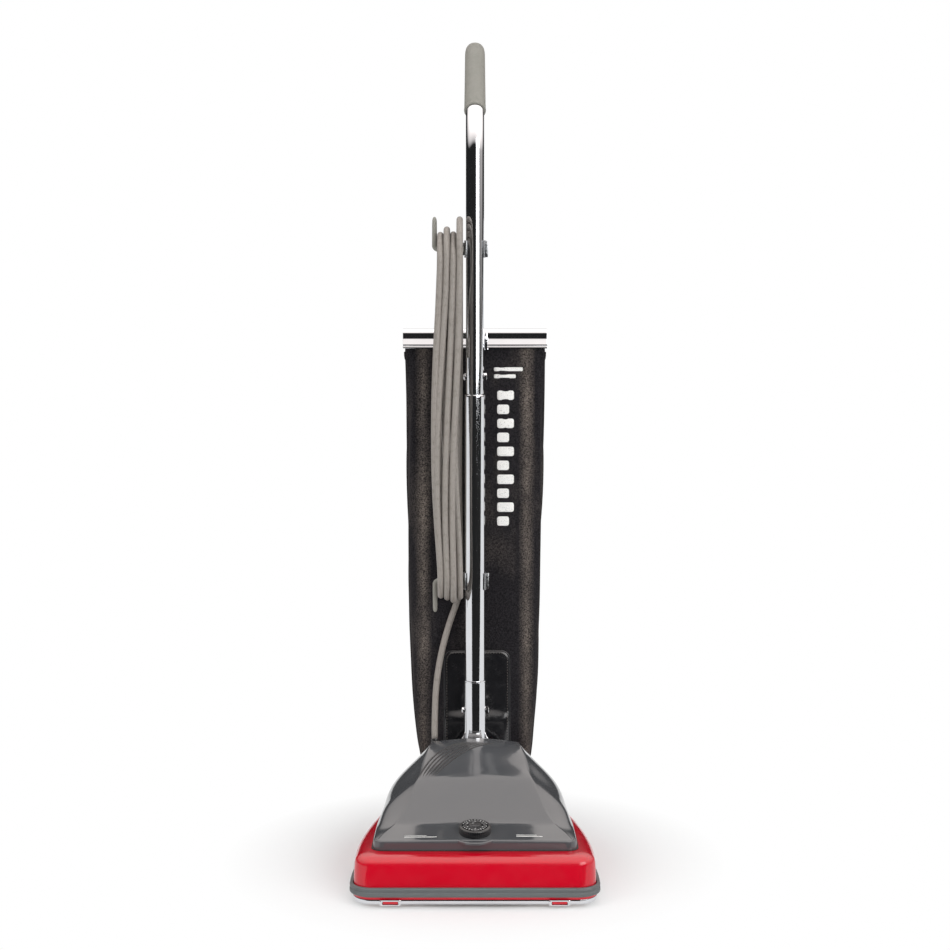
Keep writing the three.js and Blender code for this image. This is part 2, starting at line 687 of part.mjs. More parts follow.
function upperTube() {
  const { stations } = upperStations(108);
  const outer = stations.map((station) => ringAt(station, UPPER_TUBE.outer, 16));
  const inner = stations.map((station) => ringAt(station, UPPER_TUBE.inner, 16)).reverse();
  return cut(loft([...outer, ...inner], true), acrossHole(UPPER_TUBE.boltAt));
}

function handGrip() {
  const { end } = upperStations(0);
  const grip = turned([
    [0, 112], [GRIP.inner, 112], [GRIP.inner, 0], [15, 0], [GRIP.outer, 1], [14.4, 130],
    [13.4, 138.5], [10.5, 143.5], [6, 145.5], [0, GRIP.length],
  ], 18);
  return placed(grip, [0, end.y, end.z], [-BEND.angle, 0, 0]);
}

// A bolt or nut across the handle, its head against x.
function crossBolt(height, headX) {
  const shank = rod(2.6, [headX - 1, 0, height], [-headX + 4.2, 0, height], 12);
  return join(shank, rod(5.4, [headX - 3.6, 0, height], [headX, 0, height], 6));
}

function crossNut(height, x) {
  const nut = rod(5.4, [x, 0, height], [x + 3.8, 0, height], 6);
  return cut(nut, rod(2.9, [x - 1, 0, height], [x + 6, 0, height], 12));
}

function hookClamp(height, inner, low, high) {
  const band = hollow([
    [inner + GAP, height + low], [inner + 2.1, height + low],
    [inner + 2.1, height + high], [inner + GAP, height + high],
  ], 20);
  const tab = block(inner + 0.8, inner + 5.5, -2.2, 2.2, height + low + 3, height + high - 3);
  const mouth = block(-30, 30, -30, -4, height + low - 1, height + high + 1);
  return cut(join(band, tab), mouth);
}

function cordHook(height, tubeRadius, direction) {
  const { fingerX, fingerLength, armRadius } = HOOK;
  const arm = rod(armRadius, [-(tubeRadius + 2.5), 0, height], [fingerX, 0, height], 16);
  const tip = height + direction * fingerLength;
  const finger = loft([[height - direction * 4, 3.5, 4], [height, 3.5, 4.5],
    [height + direction * 30, 3.2, 4], [tip - direction * 4, 3, 3.6], [tip, 1.6, 2]]
    .map(([z, halfX, halfY]) => {
      const ring = [];
      for (let i = 0; i < 12; i++) {
        const angle = (2 * Math.PI * i) / 12;
        ring.push(new THREE.Vector3(fingerX + halfX * Math.cos(angle), halfY * Math.sin(angle), z));
      }
      return ring;
    }));
  return join(arm, finger);
}

// The hank as one solid, with the stubs by which the free stretch and the plug's lead join it.
function cordWinding() {
  const loop = (path, radius) => {
    path.absarc(WINDING.y, WINDING.highAt, radius, 0, Math.PI, false);
    path.absarc(WINDING.y, WINDING.lowAt, radius, Math.PI, 2 * Math.PI, false);
    path.closePath();
    return path;
  };
  const shape = loop(new THREE.Shape(), WINDING.outer);
  shape.holes.push(loop(new THREE.Path(), WINDING.inner));
  const slab = (x0, x1) => sideways(prism(shape, x0, x1, 7));
  const middle = block(-80, 0, -60, 40, HOOK.lowAt + 60, HOOK.highAt - 75);
  const backRun = [WINDING.nearX - CORD_RADIUS, WINDING.y + WINDING.outer - CORD_RADIUS];
  return join(
    slab(WINDING.farX, WINDING.nearX),
    slab(WINDING.bulgeX, WINDING.farX + 1).intersect(middle),
    rod(CORD_RADIUS, [...backRun, 304], [...backRun, 332], 10),
    sweep([[-30.7, -18, 721], [-27.5, -24, 732], [-24.3, -29.7, 743.4], [-22.1, -33.8, 755]],
      CORD_RADIUS, 5, 8),
  );
}

// The plug hangs by its lead in the hollow of the hank.
function cordPlug() {
  const x = -36;
  const y = WINDING.y;
  const body = loft([[681, 4.6, 4.6], [662, 6, 6], [655, 12.5, 11], [636, 13.5, 11.5], [630, 12.5, 10.5]]
    .map(([z, halfX, halfY]) => {
      const ring = [];
      for (let i = 0; i < 12; i++) {
        const angle = (2 * Math.PI * i) / 12;
        ring.push(new THREE.Vector3(x + halfX * Math.cos(angle), y + halfY * Math.sin(angle), z));
      }
      return ring;
    }));
  const blade = (bladeX) => block(bladeX - 0.75, bladeX + 0.75, y - 3, y + 3.5, 614, 632);
  const earth = rod(2.3, [x, y - 6.5, 612], [x, y - 6.5, 632], 10);
  const lead = sweep([[x, y, 679], [x, y, 689], [-35, -10, 701], [-33, -14, 712], [-30.9, -17.6, 720]],
    CORD_RADIUS, 6, 8);
  return join(body, blade(x - 6.4), blade(x + 6.4), earth, lead);
}

// ---------------------------------------------------------------- bag

// Half-width and thickness of the bag at heights along the handle, and how far back its front lies.
const BAG_STATIONS = [
  [118, 86, 52, 36], [150, 88.5, 57, 34.5], [206, 91, 61, 33], [278, 94, 63, 32.5], [349, 97, 63, 32.5],
  [420, 99, 61, 33], [489, 100, 57, 33.5], [560, 100.5, 50, 34.5], [606, 100.3, 36, 35],
  [637, 99.8, 10.2, 39.9], [BAG.top, 99.8, 9.6, 40.2],
];

function bagRing([z, halfWidth, thickness, front]) {
  const ring = [];
  const count = 22;
  for (let i = 0; i < count; i++) {
    const angle = (2 * Math.PI * i) / count;
    const c = Math.cos(angle);
    const s = Math.sin(angle);
    const x = halfWidth * Math.sign(c) * Math.abs(c) ** 0.55;
    const y = front + thickness / 2 + (thickness / 2) * Math.sign(s) * Math.abs(s) ** 0.7;
    ring.push(new THREE.Vector3(x, y, z));
  }
  return ring;
}

const clothBag = () => loft(BAG_STATIONS.map(bagRing));

// The lower end of the bag, gathered onto the exhaust outlet.
function bagNeck() {
  const upper = BAG_STATIONS[0];
  const ring = (z, halfWidth, thickness, centreY) => bagRing([z, halfWidth, thickness,
    centreY - thickness / 2]);
  const centre = upper[3] + upper[2] / 2;
  const rings = [
    ring(117.6, 86, 52, centre), ring(80, 82.5, 50, centre), ring(52, 78, 48, centre - 2),
    ring(36, 62, 45, centre - 5), ring(28, 28, 44, centre - 8),
  ].map((points) => points.map((p) => {
    const place = p.clone().applyAxisAngle(new THREE.Vector3(1, 0, 0), -LEAN);
    return place.add(new THREE.Vector3(0, PIVOT.y, PIVOT.z));
  }));
  const bag = loft(rings);
  const spout = rod(OUTLET.outer + GAP + 2, [0, OUTLET.y, 60], [0, OUTLET.y, OUTLET.z + 14.6], 24);
  return cut(bag, spout);
}

function bagClamp() {
  const { clampLow: low, clampHigh: high, clampY: y, clampLength } = BAG;
  const shape = new THREE.Shape();
  const outline = [
    [y - 7, low], [y - 7, high - 3], [y - 4, high], [y + 4, high], [y + 7, high - 3], [y + 7, low],
    [y + 5.6, low], [y + 5.6, high - 3.4], [y + 3.4, high - 1.4], [y - 3.4, high - 1.4],
    [y - 5.6, high - 3.4], [y - 5.6, low],
  ];
  outline.forEach(([a, b], i) => (i === 0 ? shape.moveTo(a, b) : shape.lineTo(a, b)));
  shape.closePath();
  const half = clampLength / 2;
  return sideways(prism(shape, -half, half, 1));
}

// A strap that hangs from the tube and holds the clamp's front lip from below.
function bagHanger() {
  const shape = new THREE.Shape();
  const front = BAG.clampY - 7;
  const outline = [
    [13.2, 700], [16, 700], [front - 1, 680], [front - 1, 640.5], [front + 1.5, 640.5],
    [front + 1.5, 638.6], [front - 2.8, 638.6], [front - 2.8, 678.6], [15.4, 697.4], [13.2, 697.4],
  ];
  outline.forEach(([a, b], i) => (i === 0 ? shape.moveTo(a, b) : shape.lineTo(a, b)));
  shape.closePath();
  const strap = sideways(prism(shape, -7, 7, 1));
  return placed(strap, [5, 0, 0]);
}

// ---------------------------------------------------------------- pedals, cord, small pieces

function pedal(side) {
  const x = side * 86;
  const pad = loft([[78, 11], [80.4, 12], [83.4, 12], [85, 10.5]].map(([z, half]) => {
    const yFront = 296;
    const yRear = 327;
    const corner = 3;
    const ring = [];
    const corners = [[1, 1, yRear], [-1, 1, yRear], [-1, -1, yFront], [1, -1, yFront]];
    for (const [sx, sy, y] of corners) {
      const first = sx * sy > 0;
      const a = [x + sx * half, y - sy * corner];
      const b = [x + sx * (half - corner), y];
      ring.push(...(first ? [a, b] : [b, a]));
    }
    return ring.map(([px, py]) => new THREE.Vector3(px, py, z));
  }));
  const lever = block(x - 4, x + 4, 274, 300, 78.4, 82.4);
  const barrel = rod(4, [x - 8, 274, 80], [x + 8, 274, 80], 16);
  return cut(join(pad, lever, barrel), rod(1.8, [x - 12, 274, 80], [x + 12, 274, 80], 12));
}

function pedalStand(side) {
  const x = side * 86;
  const low = BASE.deckZ + GAP;
  const foot = block(x - 12, x + 12, 268, 280, low, 74);
  const cheeks = join(block(x - 12, x - 8.4, 268, 280, low, 84), block(x + 8.4, x + 12, 268, 280, low, 84));
  const pin = rod(1.5, [x - 12, 274, 80], [x + 12, 274, 80], 12);
  return join(foot, cheeks, pin);
}

const strainRelief = () => join(
  rod(5, [-57, 225, 143], [-57, 234, 143], 10),
  rod(8, [-57, 229.9, 143], [-57, 233, 143], 12),
  sweep([[-57, 231.5, 143], [-57, 239, 144.5], [-57, 246, 150.5], [-57.3, 250, 159], [-57.5, 252.5, 168]],
    5.6, 5, 10),
);

// The free stretch of the cord, from the strain relief up behind the foot of the winding.
const CORD_ROUTE = [
  [-57.6, 252.8, 169.2], [-57.8, 255.8, 181], [-57.5, 260, 197], [-57, 264, 215], [-56, 268, 235],
  [-53.8, 271.5, 256], [-50.2, 274.6, 278], [-45.4, 277.4, 300], [-39.4, 280, 322], [-32.8, 282.6, 342],
  [-26.6, 284.8, 359], [-22.6, 286.3, 372.5], [-21.3, 287.2, 385.6],
];

// ---------------------------------------------------------------- assembly

add("base_housing", baseHousing(), "red");
add("bumper", bumper(), "bumper");
add("bottom_plate", bottomPlate(), "chrome");
add("motor_hood", motorHood(), "grey");
add("height_knob", heightKnob(), "black", knobGroup);
add("wheel_carriage", wheelCarriage(), "steel");
add("fan_case", fanCase(), "aluminium");
add("suction_fan", suctionFan(), "aluminium");
add("motor_bracket", motorBracket(), "aluminium");
add("motor_cover", motorCover(), "black");
add("armature", armature(), "copper");
add("stator", stator(), "steel");
add("cooling_fan", coolingFan(), "black");
add("lower_bearing", bearing(4.3, 9, 61, 67), "steel");
add("upper_bearing", bearing(4.3, 11, 138, 145), "steel");
add("exhaust_duct", exhaustDuct(), "black");
add("belt", belt(), "rubber");
add("brush_dowel", brushDowel(), "wood");
const axle = rod(3, [-99.5, 0, 0], [99.5, 0, 0], 14);
add("rear_axle", placed(axle, [0, REAR_WHEEL.y, REAR_WHEEL.radius]), "steel");
for (const [side, word] of [[-1, "left"], [1, "right"]]) {
  add(`plate_latch_${word}`, plateLatch(side), "red");
  add(`hood_screw_${word}`, hoodScrew(side), "steel");
  add(`front_wheel_${word}`, wheel(FRONT_WHEEL, side, 3.3), "rubber");
  add(`rear_wheel_${word}`, wheel(REAR_WHEEL, side, 3.4), "rubber");
  add(`bristle_strip_${word}`, bristleStrip(side), "bristle");
  add(`brush_end_${word}`, brushEnd(side), "black");
  add(`carbon_brush_${word}`, carbonBrush(side), "carbon");
  const pinX = [side * 43.5, side * 57];
  add(`pivot_pin_${word}`, join(
    rod(4, [pinX[0], PIVOT.y, PIVOT.z], [pinX[1], PIVOT.y, PIVOT.z], 16),
    rod(7, [side * 56.3, PIVOT.y, PIVOT.z], [side * 59, PIVOT.y, PIVOT.z], 16),
  ), "steel");
}
add("release_pedal", pedal(1), "black");
add("release_pedal_stand", pedalStand(1), "steel");
add("switch_pedal", pedal(-1), "black");
add("switch_pedal_stand", pedalStand(-1), "steel");
add("strain_relief", strainRelief(), "rubber");
add("cord_run", sweep(CORD_ROUTE, CORD_RADIUS, 16, 10), "cord");
add("bag_neck", bagNeck(), "cloth");
const collar = hollow([[20.2, 97], [22, 97], [22, 103], [20.2, 103]], 16);
add("bag_collar", placed(collar, [0, OUTLET.y, 0]), "chrome");

add("handle_fork", handleFork(), "chrome", handle);
add("lower_tube", lowerTube(), "chrome", handle);
add("upper_tube", upperTube(), "chrome", handle);
add("hand_grip", handGrip(), "vinyl", handle);
add("socket_bolt", crossBolt(SOCKET.boltAt, -SOCKET.outer - GAP), "steel", handle);
add("socket_nut", crossNut(SOCKET.boltAt, SOCKET.outer + GAP), "steel", handle);
add("tube_bolt", crossBolt(UPPER_TUBE.boltAt, -UPPER_TUBE.outer - GAP), "steel", handle);
add("tube_nut", crossNut(UPPER_TUBE.boltAt, UPPER_TUBE.outer + GAP), "steel", handle);
add("lower_hook_clamp", hookClamp(HOOK.lowAt, LOWER_TUBE.outer, -12, 12), "chrome", handle);
add("upper_hook_clamp", hookClamp(HOOK.highAt, UPPER_TUBE.outer, -12, 12), "chrome", handle);
add("lower_hook", cordHook(HOOK.lowAt, LOWER_TUBE.outer, -1), "vinyl", handle);
add("upper_hook", cordHook(HOOK.highAt, UPPER_TUBE.outer, 1), "vinyl", handle);
add("cord_winding", cordWinding(), "cord", handle);
add("plug", cordPlug(), "cord", handle);
add("bag", clothBag(), "cloth", handle);
add("bag_clamp", bagClamp(), "chrome", handle);
add("bag_hanger", bagHanger(), "chrome", handle);

root.position.y = -DEPTH / 2;

export default root;
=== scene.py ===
# Looks for a commercial upright vacuum cleaner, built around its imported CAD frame.
# Lengths named *_mm are millimetres; every Blender object is in metres.
import math
from contextlib import contextmanager

import bmesh
import bpy
from mathutils import Matrix, Vector, noise
from mathutils.bvhtree import BVHTree


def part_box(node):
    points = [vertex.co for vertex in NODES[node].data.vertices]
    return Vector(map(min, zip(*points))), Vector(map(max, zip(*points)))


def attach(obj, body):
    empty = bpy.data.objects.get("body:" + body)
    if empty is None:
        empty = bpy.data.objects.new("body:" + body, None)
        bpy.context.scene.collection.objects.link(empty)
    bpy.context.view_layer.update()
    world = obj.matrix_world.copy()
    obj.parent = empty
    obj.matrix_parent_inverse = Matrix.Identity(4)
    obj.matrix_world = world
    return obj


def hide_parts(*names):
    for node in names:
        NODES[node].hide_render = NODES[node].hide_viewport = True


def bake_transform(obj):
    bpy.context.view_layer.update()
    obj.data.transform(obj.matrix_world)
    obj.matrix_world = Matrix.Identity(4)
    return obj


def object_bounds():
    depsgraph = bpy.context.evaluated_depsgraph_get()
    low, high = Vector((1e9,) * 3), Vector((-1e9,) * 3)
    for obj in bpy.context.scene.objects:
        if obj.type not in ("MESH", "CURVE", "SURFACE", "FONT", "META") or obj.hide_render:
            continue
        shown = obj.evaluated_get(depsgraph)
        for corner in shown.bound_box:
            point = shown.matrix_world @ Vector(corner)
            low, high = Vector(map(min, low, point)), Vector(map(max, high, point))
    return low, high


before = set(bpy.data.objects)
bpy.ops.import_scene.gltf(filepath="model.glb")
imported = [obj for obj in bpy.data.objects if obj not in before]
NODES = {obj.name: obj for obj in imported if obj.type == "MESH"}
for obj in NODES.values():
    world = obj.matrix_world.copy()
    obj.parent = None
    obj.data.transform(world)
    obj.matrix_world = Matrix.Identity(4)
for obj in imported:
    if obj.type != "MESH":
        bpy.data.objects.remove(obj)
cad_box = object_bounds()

MM = 0.001


# ---------------------------------------------------------------- places in the frame

def centre(node):
    low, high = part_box(node)
    return (low + high) / 2


FRONT_Y = cad_box[0][1]
PIVOT = centre("pivot_pin_left")
LEAN = math.radians(3)
HANDLE = Matrix.Translation((0, PIVOT.y, PIVOT.z)) @ Matrix.Rotation(-LEAN, 4, "X")
KNOB = Matrix.Translation((0, FRONT_Y + 0.060, 0.088)) @ Matrix.Rotation(math.radians(8), 4, "X")


def on_base(x, y, z):
    """A point in millimetres, y measured back from the front of the bumper."""
    return Vector((x * MM, FRONT_Y + y * MM, z * MM))


def on_handle(x, y, along):
    """A point in millimetres in the leaning handle's own axes, from the pivot."""
    return HANDLE @ Vector((x * MM, y * MM, along * MM))


def turned(degrees, axis):
    return Matrix.Rotation(math.radians(degrees), 4, axis)


def moved(x, y, z):
    """A move in millimetres."""
    return Matrix.Translation((x * MM, y * MM, z * MM))


def unit(value):
    """The value held between 0 and 1."""
    return min(max(value, 0), 1)


def eased(value):
    """Held between 0 and 1, with a gentle start and end."""
    t = unit(value)
    return t * t * (3 - 2 * t)


def around(sides):
    """Evenly spaced angles of one full turn."""
    return [2 * math.pi * i / sides for i in range(sides)]


def polar(place, radius, angle, height):
    """A point in millimetres, by its radius, angle and height about the place's Z axis."""
    return place @ Vector((radius * MM * math.cos(angle), radius * MM * math.sin(angle), height * MM))


# For outlines drawn in the handle's own Y and Z and given thickness along its X.
ACROSS_HANDLE = HANDLE @ Matrix(((0, 0, 1, 0), (1, 0, 0, 0), (0, 1, 0, 0), (0, 0, 0, 1)))


# ---------------------------------------------------------------- mesh helpers

def added(name, data):
    """A new object of the scene."""
    thing = bpy.data.objects.new(name, data)
    bpy.context.scene.collection.objects.link(thing)
    return thing


@contextmanager
def editing(mesh):
    """Opens a mesh for edits and writes them back."""
    bm = bmesh.new()
    bm.from_mesh(mesh)
    yield bm
    bm.to_mesh(mesh)
    bm.free()


def new_mesh(name, points, faces, sharp=35):
    mesh = bpy.data.meshes.new(name)
    mesh.from_pydata([tuple(p) for p in points], [], faces)
    with editing(mesh) as bm:
        bmesh.ops.remove_doubles(bm, verts=bm.verts, dist=1e-6)
        bmesh.ops.recalc_face_normals(bm, faces=bm.faces)
    piece = added(name, mesh)
    smooth(piece, sharp)
    return piece


def smooth(piece, sharp=35):
    piece.data.shade_smooth()
    piece.data.set_sharp_from_angle(angle=math.radians(sharp))


def loft(name, rings, closed=False, sharp=35):
    """A skin through rings of equally many points, capped at both ends unless it closes."""
    count = len(rings[0])
    points = [p for ring in rings for p in ring]
    faces = []
    for r in range(len(rings) if closed else len(rings) - 1):
        here = r * count
        there = ((r + 1) % len(rings)) * count
        for i in range(count):
            j = (i + 1) % count
            faces.append((here + i, here + j, there + j, there + i))
    if not closed:
        faces.append(tuple(range(count)))
        faces.append(tuple(range(len(points) - count, len(points))))
    return new_mesh(name, points, faces, sharp)


def lathe(name, profile, place, sides=64, sharp=35):
    """A piece turned about the local Z axis; the profile is (radius, height) in millimetres."""
    closed = profile[0] == profile[-1]
    stations = profile[:-1] if closed else profile
    rings = [[polar(place, radius, angle, height) for angle in around(sides)] for radius, height in stations]
    return loft(name, rings, closed, sharp)


def frames_along(points):
    """Two crosswise directions at each point of a path, turned as little as possible."""
    side = None
    result = []
    for i in range(len(points)):
        before = points[max(i - 1, 0)]
        after = points[min(i + 1, len(points) - 1)]
        along = (after - before).normalized()
        if side is None:
            side = along.orthogonal().normalized()
        side = (side - along * side.dot(along)).normalized()
        result.append((side, along.cross(side)))
    return result


def tube(name, points, radius, sides=24, sharp=40):
    """A tube along a path; the radius is in millimetres, one number or one for each point."""
    rings = []
    for i, (side, up) in enumerate(frames_along(points)):
        r = (radius[i] if isinstance(radius, (list, tuple)) else radius) * MM
        rings.append([points[i] + side * (r * math.cos(angle)) + up * (r * math.sin(angle))
                      for angle in around(sides)])
    return loft(name, rings, sharp=sharp)


def curve_through(points, steps):
    """A smooth path through points, with the given number of steps on each stretch."""
    result = []
    for i in range(len(points) - 1):
        p0 = points[max(i - 1, 0)]
        p1, p2 = points[i], points[i + 1]
        p3 = points[min(i + 2, len(points) - 1)]
        for k in range(steps):
            t = k / steps
            result.append(0.5 * ((2 * p1) + (p2 - p0) * t + (2 * p0 - 5 * p1 + 4 * p2 - p3) * t * t
                                 + (3 * p1 - p0 - 3 * p2 + p3) * t ** 3))
    result.append(points[-1])
    return result


def resample(points, step):
    """The same path with points a step apart."""
    result = [points[0].copy()]
    left = step
    for a, b in zip(points, points[1:]):
        length = (b - a).length
        done = 0.0
        while length - done >= left:
            done += left
            result.append(a.lerp(b, done / length))
            left = step
        left -= length - done
    if (result[-1] - points[-1]).length > step * 0.3:
        result.append(points[-1].copy())
    return result


def prism(name, outline, low, high, place, bevel=0.6, segments=2, sharp=20):
    """An outline in local X and Y, in millimetres, given thickness along local Z, with rounded edges."""
    bm = bmesh.new()
    bottom = [bm.verts.new(place @ Vector((x * MM, y * MM, low * MM))) for x, y in outline]
    top = [bm.verts.new(place @ Vector((x * MM, y * MM, high * MM))) for x, y in outline]
    count = len(outline)
    bm.faces.new(bottom[::-1])
    bm.faces.new(top)
    for i in range(count):
        j = (i + 1) % count
        bm.faces.new((bottom[i], bottom[j], top[j], top[i]))
    bmesh.ops.recalc_face_normals(bm, faces=bm.faces)
    if bevel:
        edges = [e for e in bm.edges if e.calc_face_angle(0) > math.radians(30)]
        bmesh.ops.bevel(bm, geom=edges, offset=bevel * MM, segments=segments, profile=0.5, affect="EDGES",
                        clamp_overlap=True)
    mesh = bpy.data.meshes.new(name)
    bm.to_mesh(mesh)
    bm.free()
    piece = added(name, mesh)
    smooth(piece, sharp)
    return piece


def rounded_rectangle(x0, x1, y0, y1, radius, steps=5):
    outline = []
    corners = [(x1 - radius, y0 + radius, -90), (x1 - radius, y1 - radius, 0),
               (x0 + radius, y1 - radius, 90), (x0 + radius, y0 + radius, 180)]
    for cx, cy, start in corners:
        for k in range(steps + 1):
            angle = math.radians(start + 90 * k / steps)
            outline.append((cx + radius * math.cos(angle), cy + radius * math.sin(angle)))
    return outline


def block(name, lows, highs, bevel=0.6, place=Matrix.Identity(4)):
    (x0, y0, z0), (x1, y1, z1) = lows, highs
    return prism(name, [(x0, y0), (x1, y0), (x1, y1), (x0, y1)], z0, z1, place, bevel)


def joined(name, pieces):
    """Several meshes as one piece; each keeps the material it has."""
    bm = bmesh.new()
    materials = []
    for piece in pieces:
        offset = len(materials)
        materials += list(piece.data.materials)
        start = len(bm.faces)
        bm.from_mesh(piece.data)
        bm.faces.ensure_lookup_table()
        for face in bm.faces[start:]:
            face.material_index += offset
        bpy.data.objects.remove(piece)
    mesh = bpy.data.meshes.new(name)
    bm.to_mesh(mesh)
    bm.free()
    for material in materials:
        mesh.materials.append(material)
    return added(name, mesh)


def dress(piece, material, body, slot, replaces=()):
    piece.data.materials.clear()
    piece.data.materials.append(material)
    place_piece(piece, body, replaces)
    return piece


def place_piece(piece, body, replaces=()):
    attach(piece, body)
    if replaces:
        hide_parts(*replaces)


def assembled(name, pieces, sharp, *looks):
    """Several meshes as one dressed piece; looks are what dress takes after the piece."""
    piece = joined(name, pieces)
    smooth(piece, sharp)
    return dress(piece, *looks)


# ---------------------------------------------------------------- material helpers

def srgb(red, green, blue):
    """A colour given as 0 to 255 on a screen, as Blender's linear values."""
    linear = []
    for value in (red, green, blue):
        c = value / 255
        linear.append(c / 12.92 if c <= 0.04045 else ((c + 0.055) / 1.055) ** 2.4)
    return (*linear, 1.0)


class Finish:
    """One node material; its colour, roughness and bump each take a pattern in metres of the object."""

    def __init__(self, name, color, roughness, metallic=0.0, **constants):
        self.material = bpy.data.materials.new(name)
        self.material.use_nodes = True
        self.nodes = self.material.node_tree.nodes
        self.links = self.material.node_tree.links
        self.shader = self.nodes["Principled BSDF"]
        self.shader.inputs["Base Color"].default_value = color
        self.shader.inputs["Roughness"].default_value = roughness
        self.shader.inputs["Metallic"].default_value = metallic
        for socket, value in constants.items():
            self.shader.inputs[socket.replace("_", " ")].default_value = value
        self.material.diffuse_color = color
        self.coordinates = self.nodes.new("ShaderNodeTexCoord").outputs["Object"]
        self.last_bump = None

    def fill(self, socket, value):
        """Links another node's output to an input, or sets the input to a plain value."""
        if isinstance(value, bpy.types.NodeSocket):
            self.links.new(value, socket)
        else:
            socket.default_value = value

    def node(self, kind, output, **inputs):
        """Adds a node with these inputs and gives back one of its outputs."""
        node = self.nodes.new(f"ShaderNode{kind}")
        for name, value in inputs.items():
            self.fill(node.inputs[name.replace("_", " ")], value)
        return node.outputs[output]

    def stretched(self, scale, turn=(0, 0, 0)):
        return self.node("Mapping", "Vector", Vector=self.coordinates, Scale=scale, Rotation=turn)

    def noise(self, size_mm, detail=2.0, vector=None, rough=0.5):
        return self.node("TexNoise", "Fac", Vector=vector or self.coordinates, Scale=1 / (size_mm * MM),
                         Detail=detail, Roughness=rough)

    def cells(self, size_mm):
        return self.node("TexVoronoi", "Distance", Vector=self.coordinates, Scale=1 / (size_mm * MM))

    def stripes(self, pitch_mm, turn=(0, 0, 0), distortion=0.0):
        return self.node("TexWave", "Fac", Vector=self.stretched((1, 1, 1), turn),
                         Scale=2 * math.pi / 20 / (pitch_mm * MM), Distortion=distortion)

    def range(self, value, low, high, to_low, to_high):
        return self.node("MapRange", "Result", Value=value, From_Min=low, From_Max=high, To_Min=to_low,
                         To_Max=to_high)

    def mixed(self, factor, first, second):
        node = self.nodes.new("ShaderNodeMix")
        node.data_type = "RGBA"
        self.links.new(factor, node.inputs["Factor"])
        # Inputs 6 and 7 and output 2 are the ones for colours.
        self.fill(node.inputs[6], first)
        self.fill(node.inputs[7], second)
        return node.outputs[2]

    def product(self, a, b, operation="MULTIPLY"):
        node = self.nodes.new("ShaderNodeMath")
        node.operation = operation
        self.fill(node.inputs[0], a)
        self.fill(node.inputs[1], b)
        return node.outputs[0]

    def axis(self, letter):
        return self.node("SeparateXYZ", letter, Vector=self.coordinates)

    def color(self, value):
        self.links.new(value, self.shader.inputs["Base Color"])
        return self

    def roughness(self, value):
        self.links.new(value, self.shader.inputs["Roughness"])
        return self

    def bump(self, value, depth_mm, strength=1.0):
        node = self.nodes.new("ShaderNodeBump")
        node.inputs["Strength"].default_value = strength
        node.inputs["Distance"].default_value = depth_mm * MM
        self.links.new(value, node.inputs["Height"])
        if self.last_bump:
            self.links.new(self.last_bump, node.inputs["Normal"])
        self.last_bump = node.outputs["Normal"]
        self.links.new(self.last_bump, self.shader.inputs["Normal"])
        return self


# ---------------------------------------------------------------- materials

def red_plastic():
    f = Finish("red_plastic", srgb(190, 2, 30), 0.16, Coat_Weight=0.2, Coat_Roughness=0.04)
    f.color(f.mixed(f.noise(90, 2), srgb(184, 1, 28), srgb(195, 4, 34)))
    f.roughness(f.range(f.noise(14, 4), 0.3, 0.7, 0.12, 0.22))
    return f.bump(f.noise(60, 1), 0.1, 0.2).material


def grey_plastic():
    f = Finish("hood_grey_plastic", srgb(76, 78, 80), 0.12, Coat_Weight=0.35, Coat_Roughness=0.04)
    f.color(f.mixed(f.noise(60, 2), srgb(74, 76, 79), srgb(80, 80, 82)))
    f.roughness(f.range(f.noise(30, 3), 0.3, 0.7, 0.09, 0.15))
    return f.bump(f.noise(50, 1), 0.08, 0.2).material


def bumper_vinyl():
    f = Finish("bumper_vinyl", srgb(88, 91, 92), 0.55)
    scuffs = f.noise(5, 6, f.stretched((0.15, 1, 1.6)), 0.7)
    f.color(f.mixed(f.range(scuffs, 0.62, 0.75, 0, 1), srgb(88, 91, 92), srgb(112, 114, 114)))
    f.roughness(f.range(f.noise(8, 4), 0.3, 0.7, 0.45, 0.68))
    return f.bump(f.noise(0.5, 2), 0.05, 0.6).material


def chrome():
    grain = 0.05
    f = Finish("chrome", srgb(214, 216, 219), grain, 1.0)
    f.color(f.mixed(f.noise(40, 3), srgb(208, 209, 212), srgb(224, 226, 229)))
    hairlines = f.noise(0.7, 2, f.stretched((1, 1, 0.04)))
    f.roughness(f.range(hairlines, 0.3, 0.75, grain * 0.7, grain * 2.2))
    return f.bump(f.noise(22, 2), 0.02, 0.3).material


def brushed_metal(name, color, roughness):
    f = Finish(name, color, roughness, 1.0)
    darker = tuple(c * 0.72 for c in color[:3]) + (1.0,)
    f.color(f.mixed(f.noise(6, 5), darker, color))
    f.roughness(f.range(f.noise(1.5, 4), 0.3, 0.7, roughness * 0.8, roughness * 1.4))
    return f.bump(f.noise(0.6, 3, f.stretched((1, 1, 0.2))), 0.03, 0.6).material


def moulded_black(name="black_plastic", roughness=0.32):
    f = Finish(name, srgb(20, 20, 22), roughness)
    f.color(f.mixed(f.noise(12, 4), srgb(15, 15, 17), srgb(30, 30, 32)))
    f.roughness(f.range(f.noise(3, 4), 0.3, 0.7, roughness * 0.75, roughness * 1.4))
    return f.bump(f.noise(0.35, 2), 0.03, 0.5).material


def black_rubber():
    f = Finish("black_rubber", srgb(28, 28, 28), 0.7)
    dust = f.range(f.noise(4, 6, rough=0.7), 0.55, 0.8, 0, 0.7)
    f.color(f.mixed(dust, srgb(26, 26, 27), srgb(82, 79, 75)))
    return f.bump(f.noise(0.6, 3), 0.06, 0.7).material


